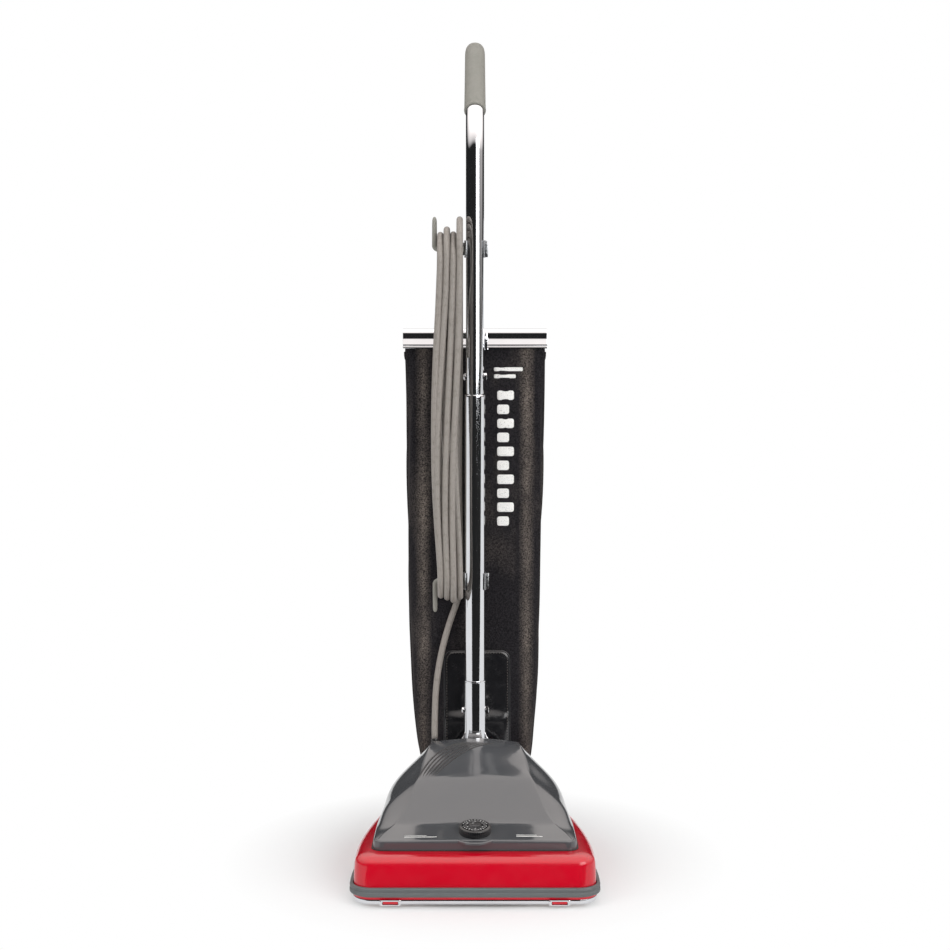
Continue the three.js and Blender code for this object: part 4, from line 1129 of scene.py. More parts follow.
def handle_tubes():
    t = LOWER_TUBE
    lower = lathe("lower_tube_shell", [
        (12.8, t["low"]), (t["outer"], t["low"]), (t["outer"], t["low"] + 2), (t["outer"], t["neck"] + 4),
        (t["outer"], t["neck"] + 6.2), (14.1, t["neck"] + 6.8), (13.6, t["neck"] + 7.1),
        (12.8, t["neck"] + 7.2), (11, t["neck"] + 7.3),
        (11, 631), (9.6, 631), (9.6, t["neck"]), (12.8, t["neck"] - 6), (12.8, t["low"])], HANDLE, 72, 50)
    dress(lower, CHROME, "handle", "chrome", ["lower_tube"])
    path, end = tube_path(104)
    upper = tube("upper_tube_shell", path, UPPER_TUBE["outer"], 72, 60)
    dress(upper, CHROME, "handle", "chrome", ["upper_tube"])
    turn = HANDLE @ moved(0, *end) @ Matrix.Rotation(-BEND_ANGLE, 4, "X")
    profile = [(12.9, -0.2), (14.6, -0.4), (15.3, 0.5), (15.35, 2), (15.0, 4), (15.0, 8)]
    for k in range(9):
        profile += [(14.95 - 0.07 * k, 12 + 12.5 * k), (14.9 - 0.07 * k, 20 + 12.5 * k)]
    profile += [(14.3, 128), (14.1, 133), (13.4, 138.5), (12.2, 141.8), (10.5, 143.8), (8, 145.2), (5, 145.8),
                (2, 146), (0, 146)]
    grip = lathe("grip_sleeve", profile, turn, 72, 50)
    dress(grip, GRIP_VINYL, "handle", "grip_vinyl", ["hand_grip"])


def hook_pieces():
    """Each cord hook: an arm that turns into a finger, and the chrome band that holds it to the tube."""
    for name, (height, tube_radius, direction) in HOOKS.items():
        body = "upper_hook" if name == "upper_hook" else "handle"
        start = -(tube_radius + 2.6)
        corner = 5
        path = [on_handle(x, 0, height) for x in (start, start - 14, FINGER_X + corner + 1)]
        for k in range(9):
            angle = math.radians(90 * k / 8)
            path.append(on_handle(FINGER_X + corner - corner * math.sin(angle), 0,
                                  height + direction * corner * (1 - math.cos(angle))))
        for reach in (12, 20, 28, 35, 39, 42, 43.8, 44.7):
            path.append(on_handle(FINGER_X, 0, height + direction * reach))
        radii = [4.0] * 3 + [3.9 - 0.04 * k for k in range(9)] + [3.55, 3.5, 3.4, 3.35, 3.2, 2.7, 1.9, 0.7]
        arm = tube(f"{name}_arm", path, radii, 28, 60)
        dress(arm, GRIP_VINYL, body, "grip_vinyl", [name])
        around_tube = open_ring(tube_radius + 0.3, tube_radius + 1.9)
        band = prism("band", around_tube, height - 12, height + 12, HANDLE, 0.4)
        lip_outline = open_ring(tube_radius + 1.2, tube_radius + 2.4)
        lips = [prism("lip", lip_outline, level - 1.1, level + 1.1, HANDLE, 0.5)
                for level in (height - 10.9, height + 10.9)]
        near, far = tube_radius + 0.9, tube_radius + 5.4
        tabs = [block("tab", (near, y, height - 11.4), (far, y + 1.6, height + 11.4), 0.5, HANDLE)
                for y in (-2, 0.4)]
        for level in (height - 6, height + 6):
            screw_place = HANDLE @ moved(tube_radius + 3.4, 0, level) @ turned(90, "X")
            tabs.append(lathe("rivet", [(0, -2.6), (1.5, -2.6), (1.5, 1.8), (1.7, 2), (1.5, 2.6), (0, 2.9)],
                              screw_place, 20))
        bracket = block("bracket", (-tube_radius - 6.6, 4.4, height - 9), (-tube_radius - 1.2, 6, height + 9),
                        0.5, HANDLE)
        assembled(f"{name}_clamp_band", [band, bracket] + lips + tabs, 40, STEEL, "handle", "steel",
                  [f"{name}_clamp"])


def open_ring(inner, outer):
    """Outline of a ring that is open in front, from the gap's edge round the back to its other edge."""
    gap = 58
    angles = [math.radians(-90 + gap + (360 - 2 * gap) * k / 40) for k in range(41)]
    return [(outer * math.cos(a), outer * math.sin(a)) for a in angles] \
        + [(inner * math.cos(a), inner * math.sin(a)) for a in reversed(angles)]


def cross_bolts():
    """The bolt and nut through the socket, and those through the tube joint."""
    for place, outer, nodes in ((SOCKET["bolt"], SOCKET["outer"], ("socket_bolt", "socket_nut")),
                                (UPPER_TUBE["bolt"], UPPER_TUBE["outer"], ("tube_bolt", "tube_nut"))):
        across = HANDLE @ moved(0, 0, place) @ turned(-90, "Y")
        shank = lathe("shank", [(0, -outer - 4), (2.4, -outer - 4), (2.6, -outer - 3), (2.6, outer),
                                (0, outer)],
                      across, 24)
        head = lathe("head", [(2.6, outer + 0.3), (5.4, outer + 0.3), (5.4, outer + 1.6), (4.9, outer + 2.8),
                              (3.6, outer + 3.7), (1.8, outer + 4.1), (0, outer + 4.2)], across, 36)
        assembled(f"{nodes[0]}_turned", [shank, head], 40, CHROME, "handle", "steel", [nodes[0]])
        nut = hex_nut(f"{nodes[1]}_hex", across, -outer - 0.3, -outer - 4.1)
        dress(nut, CHROME, "handle", "steel", [nodes[1]])


def hex_nut(name, place, start, end):
    rings = []
    profile = [(2.8, start), (5.4, start), (5.4, (start + end) / 2), (5.4, end + 0.6), (4.4, end), (2.8, end)]
    for radius, level in profile:
        ring = []
        for angle in around(36):
            flat = 4.75 / math.cos((angle % (math.pi / 3)) - math.pi / 6)
            ring.append(polar(place, min(radius, flat), angle, level))
        rings.append(ring)
    return loft(name, rings, closed=True, sharp=25)


# ---------------------------------------------------------------- bag

BAG = [
    (118, 86, 52, 36), (150, 88.5, 57, 34.5), (206, 91, 61, 33.2), (278, 94, 63, 32.8), (349, 97, 63, 32.8),
    (420, 99, 61, 33.2), (489, 100, 57, 33.7), (560, 100.5, 50, 34.7), (606, 100.3, 36, 36),
    (634, 99.8, 11, 39.8), (641, 99.6, 8.6, 40.7), (662, 99.4, 8.2, 40.9),
]
NECK = [(80, 82.5, 50, 37), (52, 78, 48, 36), (38, 64, 45, 34.5), (30, 40, 43, 33.5)]
OUTLET_Y = 296
BAG_SIDES = 96
CLAMP = {"low": 641, "high": 669, "y": 45, "length": 205}


def bag_section(along, half_width, thickness, front):
    ring = []
    for angle in around(BAG_SIDES):
        c, s = math.cos(angle), math.sin(angle)
        x = half_width * math.copysign(abs(c) ** 0.62, c)
        y = front + thickness / 2 * (1 + math.copysign(abs(s) ** 0.75, s))
        ring.append(on_handle(x, y, along))
    return ring


def cuff_rings():
    """The round end of the neck, under the collar on the exhaust spout."""
    stations = [(92, 24.6), (94.5, 22.4), (97, 20.9), (103, 20.9), (105.5, 23)]
    return [[on_base(radius * math.cos(angle), OUTLET_Y + radius * math.sin(angle), z)
             for angle in around(BAG_SIDES)] for z, radius in stations]


def fold_depth(point, along):
    """Slow folds that run down the cloth, and pleats where it is gathered."""
    x = point.x / MM
    back = 1 if (HANDLE.inverted() @ point).y > 0.06 else -1
    slow = noise.noise(Vector((x / 26, along / 190, 3.1 * back)))
    fine = noise.noise(Vector((x / 11, along / 75, 7.7 * back)))
    top_gather = max(0.0, (along - 520) / 120) * math.sin(x / 7.3 + 2 * slow)
    neck_gather = max(0.0, (140 - along) / 110) * math.sin(x / 5.2 + 3 * slow)
    return 2.6 * slow + 0.9 * fine + 0.8 * top_gather + 2.2 * neck_gather


def cloth_bag():
    stations = []
    lowest, highest = BAG[0][0], 634
    for k in range(64):
        along = lowest + (highest - lowest) * k / 63
        stations.append((along, *between(BAG, along)))
    stations += [(637.5, 99.7, 9.4, 40.3), (641, 99.6, 8.6, 40.7), (650, 99.4, 8.2, 40.9),
                 (662, 99.4, 8.2, 40.9)]
    low_part = list(reversed(NECK))
    smooth_neck = []
    for a, b in zip(low_part, low_part[1:] + [BAG[0]]):
        smooth_neck += [tuple(p + (q - p) * t for p, q in zip(a, b)) for t in (0, 0.34, 0.67)]
    rings = cuff_rings() + [bag_section(*s) for s in smooth_neck + stations]
    bag = loft("bag_cloth", rings, sharp=180)
    locals_ = HANDLE.inverted()
    normals = [v.normal.copy() for v in bag.data.vertices]
    group = bag.vertex_groups.new(name="held")
    for vertex, normal in zip(bag.data.vertices, normals):
        along = (locals_ @ vertex.co).z / MM
        fade = unit((636 - along) / 60) * unit((vertex.co.z / MM - 106) / 14)
        vertex.co += normal * (fold_depth(vertex.co, along) * fade * MM)
        held = 1.0 if along > 632 or vertex.co.z < 0.107 else 0.0
        group.add([vertex.index], held, "REPLACE")
    settle(bag)
    keep_clear(bag)
    subdivide(bag)
    return bag


def settle(bag):
    """A short cloth simulation: the cut is 2% larger than the shape, so the cloth finds its own creases."""
    before = [v.co.copy() for v in bag.data.vertices]
    cloth = bag.modifiers.new("cloth", "CLOTH")
    settings = cloth.settings
    settings.quality = 6
    settings.mass = 0.35
    settings.tension_stiffness = 18
    settings.compression_stiffness = 12
    settings.shear_stiffness = 6
    settings.bending_stiffness = 0.6
    settings.use_pressure = True
    settings.uniform_pressure_force = 1.6
    settings.shrink_min = -0.02
    settings.vertex_group_mass = "held"
    settings.effector_weights.gravity = 0.15
    cloth.collision_settings.use_collision = False
    scene = bpy.context.scene
    for number_of_frame in range(1, 25):
        scene.frame_set(number_of_frame)
    shaped = bag.evaluated_get(bpy.context.evaluated_depsgraph_get()).to_mesh()
    after = [v.co.copy() for v in shaped.vertices]
    bag.modifiers.remove(cloth)
    scene.frame_set(1)
    farthest = 9 * MM
    for vertex, old, new in zip(bag.data.vertices, before, after):
        move = new - old
        if move.length > farthest:
            move *= farthest / move.length
        vertex.co = old + move


def keep_clear(bag):
    """Holds the cloth behind the tube and cord, and inside its own width."""
    soft_gap = 3 * MM
    locals_ = HANDLE.inverted()
    for vertex in bag.data.vertices:
        p = locals_ @ vertex.co
        along = p.z / MM
        if 118 < along < 640:
            half, _, front = between(BAG, along)
            limit = (half + 4) * MM
            nearest = (front + 0.2) * MM
            if p.y <= nearest + soft_gap:
                p.y = nearest + soft_gap * math.exp((p.y - nearest - soft_gap) / soft_gap)
            p.x = min(max(p.x, -limit), limit)
            vertex.co = HANDLE @ p


def subdivide(piece):
    modifier = piece.modifiers.new("finer", "SUBSURF")
    modifier.levels = 1
    modifier.render_levels = 1
    shaped = bpy.data.meshes.new_from_object(piece.evaluated_get(bpy.context.evaluated_depsgraph_get()))
    piece.modifiers.remove(modifier)
    piece.data = shaped
    piece.data.shade_smooth()


def tree_of(piece):
    points = [v.co for v in piece.data.vertices]
    return BVHTree.FromPolygons(points, [p.vertices for p in piece.data.polygons])


def on_cloth(tree, x, along, proud):
    """The point of the bag's front at this place, a little proud of it."""
    start = on_handle(x, -60, along)
    direction = (HANDLE.to_3x3() @ Vector((0, 1, 0))).normalized()
    hit, _, _, _ = tree.ray_cast(start, direction)
    if hit is None:
        hit = on_handle(x, 36, along)
    return hit - direction * (proud * MM)


def applied(tree, name, outline, proud, rings_inward=12, thickness=0.5):
    """A flat shape laid on the bag's front, following its folds."""
    cx = sum(p[0] for p in outline) / len(outline)
    cz = sum(p[1] for p in outline) / len(outline)
    rings = []
    for k in range(rings_inward):
        share = 1 - k / rings_inward
        rings.append([on_cloth(tree, cx + (x - cx) * share, cz + (z - cz) * share, proud)
                      for x, z in outline])
    points = [p for ring in rings for p in ring] + [on_cloth(tree, cx, cz, proud)]
    count = len(outline)
    faces = []
    for r in range(rings_inward - 1):
        for i in range(count):
            j = (i + 1) % count
            faces.append((r * count + i, r * count + j, (r + 1) * count + j, (r + 1) * count + i))
    last = (rings_inward - 1) * count
    for i in range(count):
        faces.append((last + i, last + (i + 1) % count, len(points) - 1))
    return thickened(new_mesh(name, points, faces, 60), thickness)


def toward(a, b, share):
    """The point of the plane this share of the way from a to b."""
    return (a[0] + (b[0] - a[0]) * share, a[1] + (b[1] - a[1]) * share)


def densified(outline, pitch):
    """A closed outline with points added, about a pitch apart."""
    dense = []
    for a, b in zip(outline, outline[1:] + outline[:1]):
        steps = max(1, int(math.dist(a, b) / pitch))
        dense += [toward(a, b, k / steps) for k in range(steps)]
    return dense


def bag_patch(tree):
    """The stitched reinforcing patch behind the socket."""
    dense = densified(rounded_rectangle(-44, 50, 62, 207, 13, 8), 5)
    patch = applied(tree, "patch_face", dense, 1.3, 16)
    patch.data.materials.append(VINYL)
    edge = tube("patch_edge", [on_cloth(tree, x, z, 1.3) for x, z in dense], 1.1, 8, 80)
    edge.data.materials.append(VINYL)
    stitches = []
    line = densified(rounded_rectangle(-40.5, 46.5, 66, 203.5, 10, 8), 4)
    for a, b in zip(line, line[1:]):
        end = toward(a, b, 0.62)
        middle = toward(a, end, 0.5)
        path = [on_cloth(tree, *a, 1.7), on_cloth(tree, *middle, 2.1), on_cloth(tree, *end, 1.7)]
        stitch = tube("stitch", path, [0.25, 0.42, 0.25], 6, 80)
        stitch.data.materials.append(THREAD)
        stitches.append(stitch)
    return joined("bag_patch", [patch, edge] + stitches)


def bag_marks(tree):
    """Plain white print on the bag: two bars over a column of ten blocks."""
    shapes = [rounded_rectangle(27, 68, 609, 614.5, 1.5, 3), rounded_rectangle(27, 58, 599, 604.5, 1.5, 3)]
    pitch = 20
    for k in range(10):
        low = 388 + pitch * k
        width = 24 if k % 2 else 17
        shapes.append(rounded_rectangle(31.5, 31.5 + width, low, low + 13.5, 3.2, 4))
    marks = [applied(tree, f"print_{i}", shape, 0.35, 6, 0.2) for i, shape in enumerate(shapes)]
    return joined("bag_marks", marks)


def bag_seams(bag):
    """The side seams, a bound edge that stands a little proud, from the clamp to the neck."""
    tree = tree_of(bag)
    seams = []
    for side in (-1, 1):
        points = []
        for k in range(120):
            along = 636 - (636 - 44) * k / 119
            middle = between(BAG, along)[2] + between(BAG, along)[1] / 2 if along > 118 else 62
            start = on_handle(side * 140, middle, along)
            direction = (HANDLE.to_3x3() @ Vector((-side, 0, 0))).normalized()
            hit, _, _, _ = tree.ray_cast(start, direction)
            if hit is not None:
                points.append(hit - direction * 0.2 * MM)
        seams.append(tube("seam", points, 1.3, 8, 80))
    return joined("bag_seams", seams)


def bag_clamp():
    """The chrome channel that folds over the top of the bag, with pressed ends."""
    y, low, high = CLAMP["y"], CLAMP["low"], CLAMP["high"]
    outside = [(y - 9.2, low + 0.5), (y - 9.5, low + 2.2), (y - 9.2, low + 3.6), (y - 8.2, low + 4.0),
               (y - 9.2, low + 4.9), (y - 9.3, low + 6.2), (y - 7.0, low + 13.5), (y - 6.7, low + 14.5),
               (y - 6.7, high - 7)]
    for k in range(1, 12):
        angle = math.radians(180 - 180 * k / 12)
        outside.append((y + 6.7 * math.cos(angle), high - 7 + 7 * math.sin(angle)))
    outside += [(y + 6.7, high - 7), (y + 6.7, low + 9), (y + 6.3, low + 8), (y + 6.3, low + 3.2),
                (y + 7.2, low + 2.4), (y + 7.2, low + 0.4)]
    inside = [(y + 5.6, low + 0.2), (y + 5.2, low + 3.4)]
    for k in range(9):
        angle = math.radians(180 * k / 8)
        inside.append((y + 5.3 * math.cos(angle), high - 6.8 + 4.6 * math.sin(angle)))
    inside += [(y - 5.2, low + 9), (y - 7.6, low + 0.3)]
    outline = outside + inside
    half = CLAMP["length"] / 2
    clamp = prism("bag_clamp_channel", outline, -half, half, ACROSS_HANDLE, 0.35)
    return dress(clamp, CHROME, "bag_clamp", "chrome", ["bag_clamp"])


def bag_hanger():
    """The strap that hangs the clamp from the tube, with its rivet."""
    front = CLAMP["y"] - 7
    middle = [(14.4, 699), (front - 1.4, 679.5), (front - 1.4, 656), (front - 4.0, 646), (front - 4.2, 640),
              (front - 3.6, 638.6), (front - 1.6, 638.2)]
    rounded = []
    for a, b in zip(middle, middle[1:]):
        rounded += [a, toward(a, b, 0.5)]
    rounded.append(middle[-1])
    outline = [(a - 0.8, b) for a, b in rounded] + [(a + 0.8, b) for a, b in reversed(rounded)]
    strap = prism("strap", outline, -2, 12, ACROSS_HANDLE, 0.3)
    catch_place = HANDLE @ moved(14.5, front - 5.2, 655)
    catch = [block("catch", (-3, -1.2, -14), (3.2, 0.6, 9), 0.5, catch_place),
             lathe("eye", [(0, -1), (3.8, -1), (4.4, 0), (4, 1.4), (2.4, 2.4), (0, 2.6)],
                   catch_place @ turned(90, "X"), 32),
             block("catch_foot", (-3, -1, -15.6), (4.4, 3.4, -13.4), 0.5, catch_place)]
    return assembled("bag_hanger_strap", [strap] + catch, 40, CHROME, "handle", "chrome", ["bag_hanger"])


# ---------------------------------------------------------------- exhaust, wheels, pedals, brush

def exhaust_pieces():
    """The ribbed duct up to the spout, and the band that holds the bag's neck on it."""
    stops = [(250.6, 49), (268, 49.5), (285, 55), (295, 68), (296, 84)]
    path = curve_through([on_base(0, y, z) for y, z in stops], 12)
    radii = [16.5 + 0.5 * math.sin(2 * math.pi * i / 5) for i in range(len(path))]
    duct = tube("exhaust_elbow", path, radii, 48, 60)
    outlet = on_base_matrix(0, OUTLET_Y, 0)
    spout = lathe("spout", [(16.6, 82), (18.6, 83), (18.6, 88), (19.6, 88.6), (19.6, 106), (19.2, 107.6),
                            (17.8, 108), (17.4, 106), (17.4, 84), (16.6, 82)], outlet, 64, 50)
    assembled("exhaust_spout", [duct, spout], 50, BLACK, "base", "black_plastic", ["exhaust_duct"])
    band = lathe("collar_band", [(21.0, 97), (21.9, 97.2), (22.2, 98), (21.8, 98.8), (21.8, 101.2),
                                 (22.2, 102), (21.9, 102.8), (21.0, 103), (21.0, 97)], outlet, 72, 50)
    sideways = outlet @ turned(-90, "Z")
    screw_place = sideways @ moved(0, 24.4, 100) @ turned(90, "Y")
    housing = block("worm_housing", (-7, 21.6, 97.6), (7, 27.4, 102.4), 0.8, sideways)
    screw = lathe("worm_screw", [(0, -9.5), (2.2, -9.5), (2.6, -8.8), (2.6, -6.5), (1.6, -6.5), (1.6, 7.6),
                                 (0, 8)],
                  screw_place, 24)
    assembled("bag_collar_band", [band, housing, screw], 40, CHROME, "base", "chrome", ["bag_collar"])


def on_base_matrix(x, y, z):
    return Matrix.Translation(on_base(x, y, z))


def strain_relief():
    """A moulded flange and a flexible ribbed sleeve that narrows round the cord."""
    path = curve_through([on_base(-57, 231.7, 143), on_base(-57, 239, 144.5), on_base(-57, 246, 150.5),
                          on_base(-57.3, 250, 159), on_base(-57.5, 252.5, 168)], 12)
    count = len(path)
    radii = []
    for i in range(count):
        t = i / (count - 1)
        taper = 7.2 - 2.1 * t
        groove = 0.7 if i % 5 in (3, 4) and 5 < i < count - 3 else 0.0
        radii.append(taper - groove)
    sleeve = tube("sleeve", path, radii, 32, 35)
    flange = lathe("flange", [(0, -1.4), (7.4, -1.4), (8, -0.8), (8, 0.8), (7.4, 1.5), (0, 1.5)],
                   on_base_matrix(-57, 231.5, 143) @ turned(90, "X"), 48)
    assembled("cord_guard", [sleeve, flange], 35, BLACK, "base", "black_plastic", ["strain_relief"])


def wheels():
    """Rubber tyres on moulded hubs; the rear pair is larger and has a tread."""
    for kind in ("front", "rear"):
        for word in ("left", "right"):
            node = f"{kind}_wheel_{word}"
            place = Matrix.Translation(centre(node)) @ turned(90, "Y")
            low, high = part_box(node)
            r = (high.z - low.z) / 2 / MM
            w = (high.x - low.x) / 2 / MM
            hub_radius = r * 0.62
            bore = 3.5
            rim = [(hub_radius, -w + 1.2), (r - 3, -w + 0.6), (r - 1, -w + 1.8), (r, -w + 4)]
            if kind == "rear":
                for k in range(3):
                    level = -w + 5.2 + 3.1 * k
                    rim += [(r, level), (r - 0.9, level + 0.3), (r - 0.9, level + 1.0), (r, level + 1.3)]
            rim += [(r, w - 4), (r - 1, w - 1.8), (r - 3, w - 0.6), (hub_radius, w - 1.2),
                    (hub_radius, -w + 1.2)]
            tyre = lathe("tyre", rim, place, 96, 35)
            tyre.data.materials.append(RUBBER)
            h = hub_radius - 0.1
            hub = lathe("hub", [(bore, -w + 0.3), (bore + 2.6, -w + 0.3), (bore + 3, -w + 2.2),
                                (h - 1.4, -w + 2.6), (h, -w + 1.0), (h, w - 1.0), (h - 1.4, w - 2.6),
                                (bore + 3, w - 2.2), (bore + 2.6, w - 0.3), (bore, w - 0.3),
                                (bore, -w + 0.3)], place, 64, 35)
            hub.data.materials.append(BLACK)
            wheel = joined(f"{kind}_tyre_and_hub_{word}", [tyre, hub])
            smooth(wheel, 35)
            place_piece(wheel, node, [node])


def pedals():
    """Two moulded foot pedals with ribbed pads, behind the hood."""
    for node, side in (("release_pedal", 1), ("switch_pedal", -1)):
        base = on_base_matrix(side * 86, 0, 0)
        pad = prism("pad", rounded_rectangle(-12, 12, 296, 327, 4, 6), 78, 83.4, base, 0.9, 3)
        ribs = [block("rib", (-9.5, y, 83.2), (9.5, y + 1.8, 84.9), 0.5, base)
                for y in (300, 304.5, 309, 313.5, 318, 322)]
        lever = block("lever", (-4, 276, 78.4), (4, 300, 82.4), 0.9, base)
        barrel_profile = [(1.6, -5.6), (4.2, -5.6), (4.7, -5), (4.7, 5), (4.2, 5.6), (1.6, 5.6), (1.6, -5.6)]
        barrel = lathe("barrel", barrel_profile, on_base_matrix(side * 86, 274, 80) @ turned(90, "Y"), 40)
        assembled(f"{node}_moulding", [pad, lever, barrel] + ribs, 35, BLACK, node, "black_plastic", [node])


def brush_tufts():
    """Bristles in rows of tufts along each strip, over the strips themselves."""
    middle = centre("brush_dowel")
    count = 44
    for word in ("left", "right"):
        node = f"bristle_strip_{word}"
        tree = node_tree(node)
        low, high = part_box(node)
        tufts = []
        for k in range(count):
            x = low.x + (high.x - low.x) * (k + 0.5) / count
            tufts += tuft(tree, Vector((x, middle.y, middle.z)))
        assembled(f"bristle_tufts_{word}", tufts, 80, BRISTLE, "brush_roll", "bristle")


def tuft(tree, hub):
    """Five bristles where the strip stands furthest from the dowel's axis, or none where it isn't."""
    search = 0.04
    dowel_radius = 0.018
    best = None
    for angle in around(72):
        outward = Vector((0, math.cos(angle), math.sin(angle)))
        hit, _, _, _ = tree.ray_cast(hub + outward * search, -outward, search - dowel_radius)
        if hit is not None and (best is None or (hit - hub).length > best[0]):
            best = ((hit - hub).length, outward)
    if best is None:
        return []
    reach, outward = best
    foot = hub + outward * 16.8 * MM
    tip = hub + outward * min(reach - 0.0002, 0.0249)
    crosswise = outward.cross(Vector((1, 0, 0)))
    bristles = []
    for j in range(5):
        turn = 2.4 * j
        lean = Vector((math.cos(turn), 0, 0)) * 1.1 * MM + crosswise * math.sin(turn) * 1.1 * MM
        line = [foot + lean * 0.4, (foot + tip) / 2 + lean * 0.8, tip + lean]
        bristles.append(tube("tuft", line, [0.55, 0.5, 0.35], 6, 80))
    return bristles


def node_tree(node):
    obj = NODES[node]
    matrix = obj.matrix_world
    points = [matrix @ v.co for v in obj.data.vertices]
    return BVHTree.FromPolygons(points, [p.vertices for p in obj.data.polygons])


# ---------------------------------------------------------------- everything made

def build_base():
    base_shell()
    rear_floor()
    bumper_band()
    plate_rim()
    hood = motor_hood()
    hood_gasket()
    hood_ribs(hood)
    hood_marks(hood)
    knob_recess()
    height_knob()
    exhaust_pieces()
    strain_relief()
    wheels()
    pedals()
    brush_tufts()


def build_handle():
    handle_fork()
    handle_tubes()
    hook_pieces()
    cross_bolts()
    bag_clamp()
    bag_hanger()


def build_bag():
    bag = cloth_bag()
    tree = tree_of(bag)
    soft_parts = [bag, bag_patch(tree), bag_marks(tree), bag_seams(bag)]
    for part, material in zip(soft_parts, (CLOTH, None, PRINT, CLOTH)):
        if material:
            part.data.materials.clear()
            part.data.materials.append(material)
        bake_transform(part)
    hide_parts("bag", "bag_neck")


NODE_FINISH = {
    "bottom_plate": CHROME, "hood_screw_left": CHROME, "hood_screw_right": CHROME, "fan_case": ALUMINIUM,
    "suction_fan": ALUMINIUM, "motor_bracket": STEEL, "motor_cover": BLACK, "stator": IRON,
    "lower_bearing": STEEL, "upper_bearing": STEEL, "carbon_brush_left": BLACK, "carbon_brush_right": BLACK,
    "belt": RUBBER, "armature": IRON, "cooling_fan": BLACK, "rear_axle": STEEL, "pivot_pin_left": STEEL,
    "pivot_pin_right": STEEL, "brush_end_left": BLACK, "brush_end_right": BLACK, "release_pedal_stand": STEEL,
    "switch_pedal_stand": STEEL, "wheel_carriage": STEEL, "brush_dowel": WOOD, "bristle_strip_left": BRISTLE,
    "bristle_strip_right": BRISTLE,
}


def dress_cad():
    """The plain hard pieces keep their own shape, with worn metal, plastic or wood on them."""
    for name, material in NODE_FINISH.items():
        node = NODES[name]
        node.data.materials.clear()
        node.data.materials.append(material)


# ---------------------------------------------------------------- floor and lights

def stage_sheet(name, corners, material):
    mesh = bpy.data.meshes.new(name)
    mesh.from_pydata(corners, [], [(0, 1, 2, 3)])
    mesh.materials.append(material)
    sheet = added(name, mesh)
    return sheet


def area_light(name, location, target, size, power):
    data = bpy.data.lights.new(name, "AREA")
    data.shape = "RECTANGLE"
    data.size, data.size_y = size
    data.energy = power
    light = added(name, data)
    light.location = location
    light.rotation_euler = (Vector(target) - Vector(location)).to_track_quat("-Z", "Y").to_euler()
    return light


def glow_floor():
    """White ground that takes soft shadows near the cleaner and glows evenly further away."""
    f = Finish("studio_floor", (0.9, 0.9, 0.9, 1), 0.8)
    f.color(f.mixed(f.noise(700, 2), (0.88, 0.88, 0.88, 1), (0.91, 0.91, 0.91, 1)))
    f.bump(f.noise(30, 2), 0.02, 0.2)
    distance = f.nodes.new("ShaderNodeVectorMath")
    distance.operation = "LENGTH"
    f.links.new(f.coordinates, distance.inputs[0])
    share = f.range(distance.outputs["Value"], 0.19, 0.36, 0, 1)
    glow = f.nodes.new("ShaderNodeEmission")
    mix = f.nodes.new("ShaderNodeMixShader")
    f.links.new(share, mix.inputs["Fac"])
    f.links.new(f.shader.outputs["BSDF"], mix.inputs[1])
    f.links.new(glow.outputs["Emission"], mix.inputs[2])
    f.links.new(mix.outputs["Shader"], f.nodes["Material Output"].inputs["Surface"])
    return f.material


def floor_corners(side, front, back):
    return [(-side, front, 0), (side, front, 0), (side, back, 0), (-side, back, 0)]


def studio():
    side, front, near, back = 10, 0.6, 0.31, 14
    ground = glow_floor()
    stage_sheet("floor", floor_corners(side, -near, back), ground)
    apron = stage_sheet("floor_front", floor_corners(side, -front, -near), ground)
    wings = {"left": [(-0.25, -near), (-side, -near), (-4.4, -5.5), (-0.6, -1)],
             "right": [(0.25, -near), (side, -near), (side, -2.6), (1.2, -1)]}
    for word, corners in wings.items():
        stage_sheet(f"floor_wing_{word}", [(x, y, -0.001) for x, y in corners], ground)
    aim = (0, 0, 0.5)
    area_light("key_box", (1.9, -2.7, 1.6), (0, 0, 1.0), (2.4, 2.1), 58)
    fill = area_light("fill_box", (-2.4, -2.2, 1.6), aim, (2, 2), 30)
    low = area_light("low_fill", (0, -4.2, 0.9), (0, 0, 0.1), (3, 1), 18)
    overhead = area_light("overhead", (0, -0.3, 3), (0, 0, 0), (2.4, 2), 24)
    for unseen in (fill, low, overhead, apron):
        unseen.visible_glossy = False


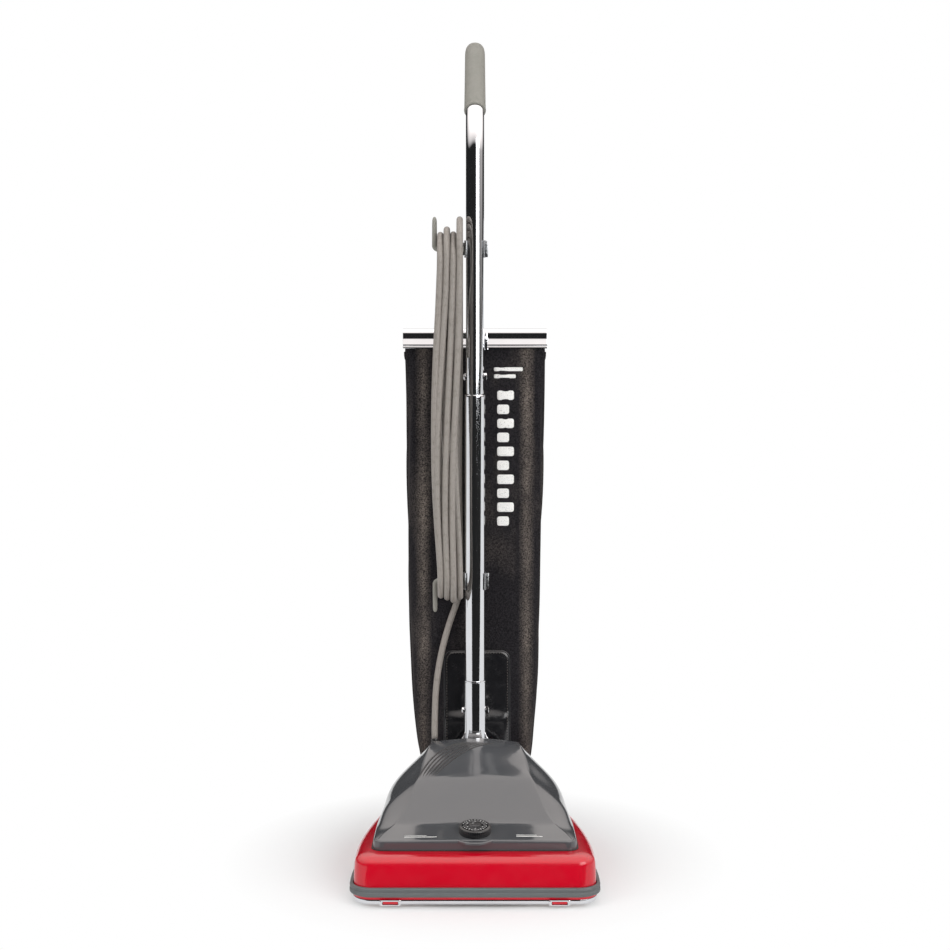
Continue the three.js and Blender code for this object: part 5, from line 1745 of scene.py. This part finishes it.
def surroundings():
    """White to the camera, an even glow for soft light, and a dark room in reflections."""
    world = bpy.data.worlds.new("studio")
    world.use_nodes = True
    nodes, links = world.node_tree.nodes, world.node_tree.links

    def background(node, strength):
        node.inputs["Color"].default_value = (1, 1, 1, 1)
        node.inputs["Strength"].default_value = strength
        return node.outputs["Background"]

    def chosen(factor, otherwise, when):
        mix = nodes.new("ShaderNodeMixShader")
        links.new(factor, mix.inputs["Fac"])
        links.new(otherwise, mix.inputs[1])
        links.new(when, mix.inputs[2])
        return mix.outputs["Shader"]

    seen = background(nodes["Background"], 1.0)
    soft = background(nodes.new("ShaderNodeBackground"), 0.5)
    room_node = nodes.new("ShaderNodeBackground")
    room = background(room_node, 2.4)
    links.new(room_colors(nodes, links), room_node.inputs["Color"])
    ray = nodes.new("ShaderNodeLightPath").outputs
    whole = chosen(ray["Is Camera Ray"], chosen(ray["Is Glossy Ray"], soft, room), seen)
    links.new(whole, nodes["World Output"].inputs["Surface"])
    bpy.context.scene.world = world
    bpy.context.scene.view_settings.view_transform = "Standard"


def room_colors(nodes, links):
    """The room in reflections: dark below, a bright ceiling, and sides that brighten away from x = -0.12."""

    def math_node(operation, *values):
        node = nodes.new("ShaderNodeMath")
        node.operation = operation
        for socket, value in zip(node.inputs, values):
            if isinstance(value, bpy.types.NodeSocket):
                links.new(value, socket)
            else:
                socket.default_value = value
        return node.outputs[0]

    axes = nodes.new("ShaderNodeSeparateXYZ")
    links.new(nodes.new("ShaderNodeTexCoord").outputs["Generated"], axes.inputs["Vector"])
    aside = math_node("ADD", axes.outputs["X"], 0.12)
    lift = math_node("MULTIPLY_ADD", math_node("MULTIPLY", aside, aside), 0.3, axes.outputs["Z"])
    ramp = nodes.new("ShaderNodeValToRGB")
    links.new(lift, ramp.inputs["Fac"])
    stops = ramp.color_ramp.elements
    stops[0].position = 0.29
    stops[0].color = (0.008, 0.008, 0.008, 1)
    stops[1].position = 0.85
    stops[1].color = (1.0, 0.93, 0.89, 1)
    sides = stops.new(0.44)
    sides.color = (0.36, 0.34, 0.33, 1)
    return ramp.outputs["Color"]


build_base()
build_handle()
build_bag()
dress_cad()
studio()
surroundings()
